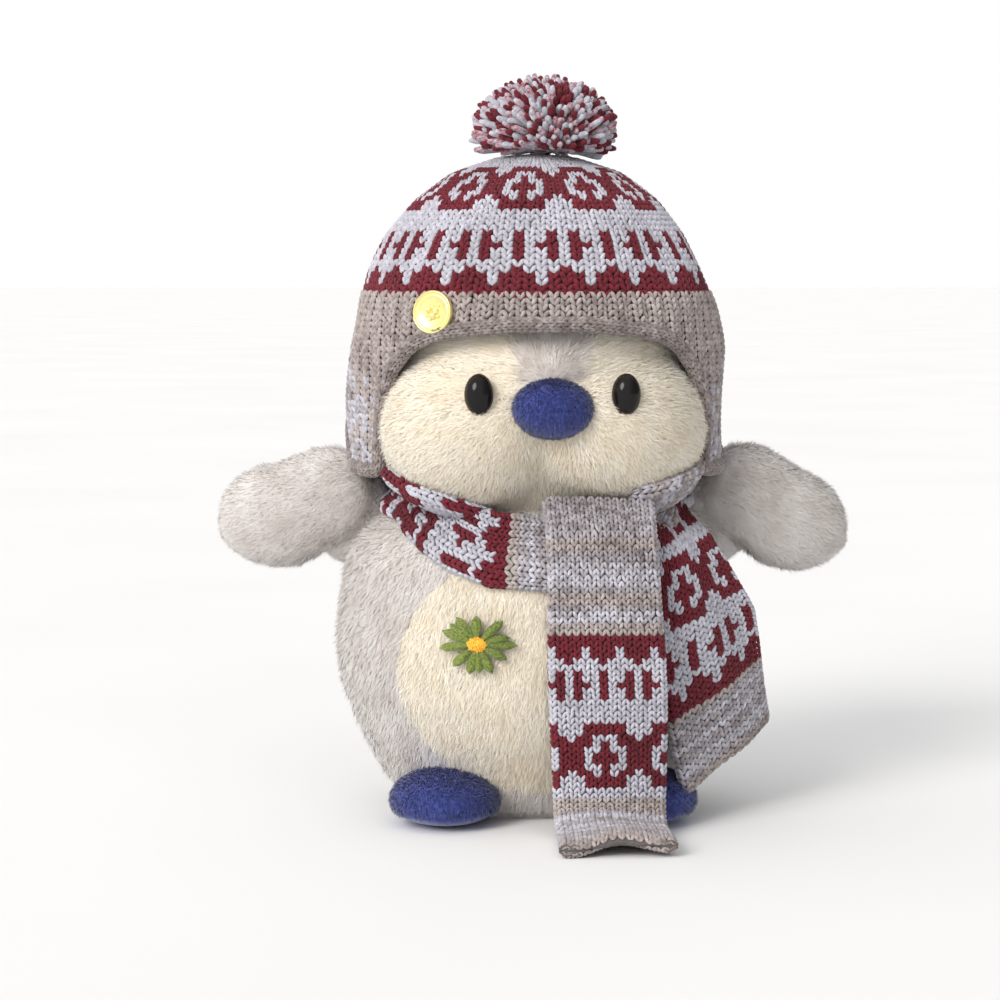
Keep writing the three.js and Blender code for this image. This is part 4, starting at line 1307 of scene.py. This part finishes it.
def thread_tubes(paths, radius):
    """Threads as six-sided tubes along (count, steps, 3) paths, thin at both ends."""
    count, steps, _ = paths.shape
    along = unit(np.gradient(paths, axis=1))
    side = unit(np.cross(along, np.array([0.0, 1.0, 0.0])))
    other = np.cross(along, side)
    width = radius * (0.55 + 0.45 * np.sin(np.linspace(0, math.pi, steps)))
    angle = np.arange(6) / 6 * TAU
    ring = (side[:, :, None] * np.cos(angle)[:, None] + other[:, :, None] * np.sin(angle)[:, None])
    points = paths[:, :, None] + ring * width[None, :, None, None]
    return points.reshape(-1, 3), repeated(grid_faces(steps, 6, wrap=True), steps * 6, count)


PETALS = 13
THREADS = 11                   # in one petal
HEART_OFF = 2.4 * MM           # how far from the middle the petals start
WIDEST = 0.6                   # where along it a petal is widest
PETAL_HALF = 1.6 * MM
PETAL_HIGH = 1.3 * MM          # how much a petal's middle is raised
PATCH_OFF = 1.6 * MM           # the patch lies this far off the belly's skin
PATCH_SCALE = (1.06, 0.86)     # the patch is wider than it is tall
lines = []
for petal in range(PETALS):
    angle = petal / PETALS * TAU + 0.2 * math.sin(5 * petal)
    reach = (petal_high[0] - petal_low[0]) / 2 * (1.02 + 0.10 * math.sin(3 * petal + 1))
    for spread in np.linspace(-1, 1, THREADS):
        t = np.linspace(0, 1, 9)
        out = HEART_OFF + (reach - HEART_OFF) * t * (1 - 0.07 * abs(spread))
        neck = 0.35 + 0.65 * np.sin(math.pi / 2 * t / WIDEST)
        bulge = np.where(t < WIDEST, neck, np.cbrt(1 - np.clip((t - WIDEST) / 0.405, 0, 1) ** 3))
        wide = PETAL_HALF * spread * bulge
        height = 0.4 * MM + PETAL_HIGH * (1 - spread ** 2) * bulge
        x = daisy[0] + PATCH_SCALE[0] * out * math.cos(angle) - wide * math.sin(angle)
        z = daisy[2] + (out * math.sin(angle) + wide * math.cos(angle)) * PATCH_SCALE[1]
        lines.append(belly_front(x, z, height + PATCH_OFF))
petals = make_mesh("daisy_petal_threads", *thread_tubes(np.array(lines), 0.27 * MM), petal_green)
declare(petals, "toy", "petal_thread", "daisy_petals")

KNOTS = 60
KNOT_HALF = np.array([0.55, 0.5, 0.55]) * MM
HEART_HALF = (3.2 * MM, 2.4 * MM)
HEART_RISE = 1.3 * MM          # how much higher the middle knots lie than the outer ones
index = np.arange(KNOTS)
out = np.sqrt((index + 0.5) / KNOTS)
knots = belly_front(daisy[0] + HEART_HALF[0] * out * np.cos(index * GOLDEN),
                    daisy[2] + HEART_HALF[1] * out * np.sin(index * GOLDEN),
                    PATCH_OFF + 1.0 * MM + HEART_RISE * (1 - out * out))
heart = make_mesh("daisy_knots", *merged([blob(p, KNOT_HALF, 7, 10) for p in knots]), heart_orange)
declare(heart, "toy", "heart_thread", "daisy_centre")

# The button: a turned disc with a plain flower of small bosses.

button_low, button_high = span("hat_button")
BUTTON_RADIUS = (button_high[2] - button_low[2]) / 2
BUTTON_THICK = 1.4 * MM
BUTTON_PROFILE = [(0.0, 0.0), (0.97, 0.0), (1.0, 0.2), (1.0, 1.15), (0.97, 1.5), (0.93, 1.5), (0.88, 1.1),
                  (0.82, 1.0), (0.76, 1.25), (0.70, 1.0), (0.62, 0.9), (0.0, 0.9)]
BOSS_HALF = np.array([1.3, 1.0, 1.3]) * MM
BOSSES = [(-0.18, 0.05, 1.0), (0.0, 0.22, 0.8), (0.2, 0.1, 0.9), (0.28, -0.15, 0.6),
          (-0.05, -0.18, 1.1), (-0.3, -0.2, 0.6), (0.1, -0.32, 0.6), (-0.3, 0.3, 0.5)]
button_middle = (button_low + button_high) / 2
facing = unit(np.array([button_middle[0] * HAT_DEPTH ** 2, button_middle[1] * 1.15, 6 * MM]))
button_across = unit(np.cross(facing, UP))
button_up = np.cross(button_across, facing)
rim, height = (column[:, None, None] for column in np.array(BUTTON_PROFILE).T)
angle = np.arange(64)[:, None] / 64 * TAU
disc = button_middle + rim * BUTTON_RADIUS * (np.cos(angle) * button_across + np.sin(angle) * button_up)
disc = disc + (height * BUTTON_THICK - 0.6 * MM) * facing
button = make_mesh("button_disc", disc.reshape(-1, 3), grid_faces(len(rim), 64, wrap=True), gold)
relief = []
for across, up, size in BOSSES:
    centre = button_middle + BUTTON_RADIUS * (across * button_across + up * button_up) + facing * 0.7 * MM
    relief.append(blob(centre, BOSS_HALF * size, rows=12, columns=16))
bosses = make_mesh("button_relief", *merged(relief), gold)
declare(button, "hat", "gold_metal", "hat_button")
sew_on(bosses, button)

# The care label: a folded satin tape caught in the seam at the back.

label_low, label_high = span("care_label")
LABEL_STEPS = 24
LABEL_COLUMNS = 12
LABEL_GAP = 0.6 * MM           # between its two layers
t, x = np.meshgrid(np.linspace(0, 1, LABEL_STEPS), np.linspace(label_low[0], label_high[0], LABEL_COLUMNS),
                   indexing="ij")
fold_y = label_low[1] - 3 * MM + 5 * MM * np.sin(t * 1.7)
layer = np.stack([x, fold_y, label_high[2] - (label_high[2] - label_low[2]) * t], axis=2)
loop = np.concatenate([layer, layer[::-1] - [0, LABEL_GAP, 0]])
label = make_mesh("care_label_tape", loop.reshape(-1, 3), grid_faces(2 * LABEL_STEPS, LABEL_COLUMNS), satin)
declare(label, "toy", "label_satin", "care_label")

# What stays as the CAD has it: the washers behind the eyes, the base panel and the pompom's tie.

washer = plain_material("washer_plastic", (0.70, 0.70, 0.68), 0.45)
tie_yarn = soft_material("tie_yarn", [shade(YARN_WHITE, 0.8), YARN_WHITE], 600)
KEPT = {"eye_washer_left": washer, "eye_washer_right": washer, "base_panel": grey_backing,
        "pompom_tie": tie_yarn}
for node, finish in KEPT.items():
    materials = bpy.data.objects[node].data.materials
    materials.clear()
    materials.append(finish)


# ---- Camera, floor and light --------------------------------------------------------------------

def look_at(obj, target):
    """Turns a camera or light to face a point."""
    obj.rotation_euler = (Vector(target) - obj.location).to_track_quat("-Z", "Y").to_euler()


CAMERA_REACH = 1.05
CAMERA_RISE = math.radians(4.5)
CAMERA_TURN = math.radians(-3.5)
VIEW_WIDTH = 0.366             # how much the camera takes in at its aim
SENSOR = 36
scene = bpy.context.scene
camera = bpy.data.objects.new("camera", bpy.data.cameras.new("camera"))
bpy.context.collection.objects.link(camera)
aim = Vector((-0.0131, 0, 0.1120))
back = Vector((math.sin(CAMERA_TURN), -math.cos(CAMERA_TURN), 0)) * math.cos(CAMERA_RISE)
camera.location = aim + CAMERA_REACH * (back + Vector((0, 0, math.sin(CAMERA_RISE))))
look_at(camera, aim)
camera.data.lens = SENSOR * CAMERA_REACH / VIEW_WIDTH
scene.camera = camera

FLOOR_HALF = 40.0
floor_material, tree, shader, coordinates = principled("floor")
pale = ramp_node(tree, noise_node(tree, coordinates, 3), [(0.3, (0.80,) * 3), (0.7, (0.83,) * 3)])
tree.links.new(pale, shader.inputs["Base Color"])
set_inputs(shader, Roughness=0.9)
corners = FLOOR_HALF * np.array([[-1, -1, 0], [1, -1, 0], [1, 1, 0], [-1, 1, 0]])
floor = make_mesh("floor", corners, np.array([[0, 1, 2, 3]]), floor_material)

# The light of the room: white all round, and weaker from the right.
world = bpy.data.worlds.new("world")
scene.world = world
world.use_nodes = True
tree = world.node_tree
split = tree.nodes.new("ShaderNodeSeparateXYZ")
tree.links.new(tree.nodes.new("ShaderNodeTexCoord").outputs["Generated"], split.inputs[0])
softer = tree.nodes.new("ShaderNodeMapRange")
set_inputs(softer, From_Min=0.25, From_Max=0.8, To_Min=1.0, To_Max=0.22)
tree.links.new(split.outputs["X"], softer.inputs["Value"])
tree.links.new(softer.outputs["Result"], tree.nodes["Background"].inputs["Strength"])
set_inputs(tree.nodes["Background"], Color=(1.0, 1.0, 1.0, 1.0))
scene.view_settings.view_transform = "Standard"

SUN_WIDTH = math.radians(28)   # a wide sun, as the photograph's shadows are soft
sun = bpy.data.lights.new("key", "SUN")
sun.energy = 2.25
sun.angle = SUN_WIDTH
sun.color = (1.0, 0.97, 0.93)
key = bpy.data.objects.new("key", sun)
key.location = (-1.1, -1.3, 1.1)
bpy.context.collection.objects.link(key)
look_at(key, (0, 0, 0.13))
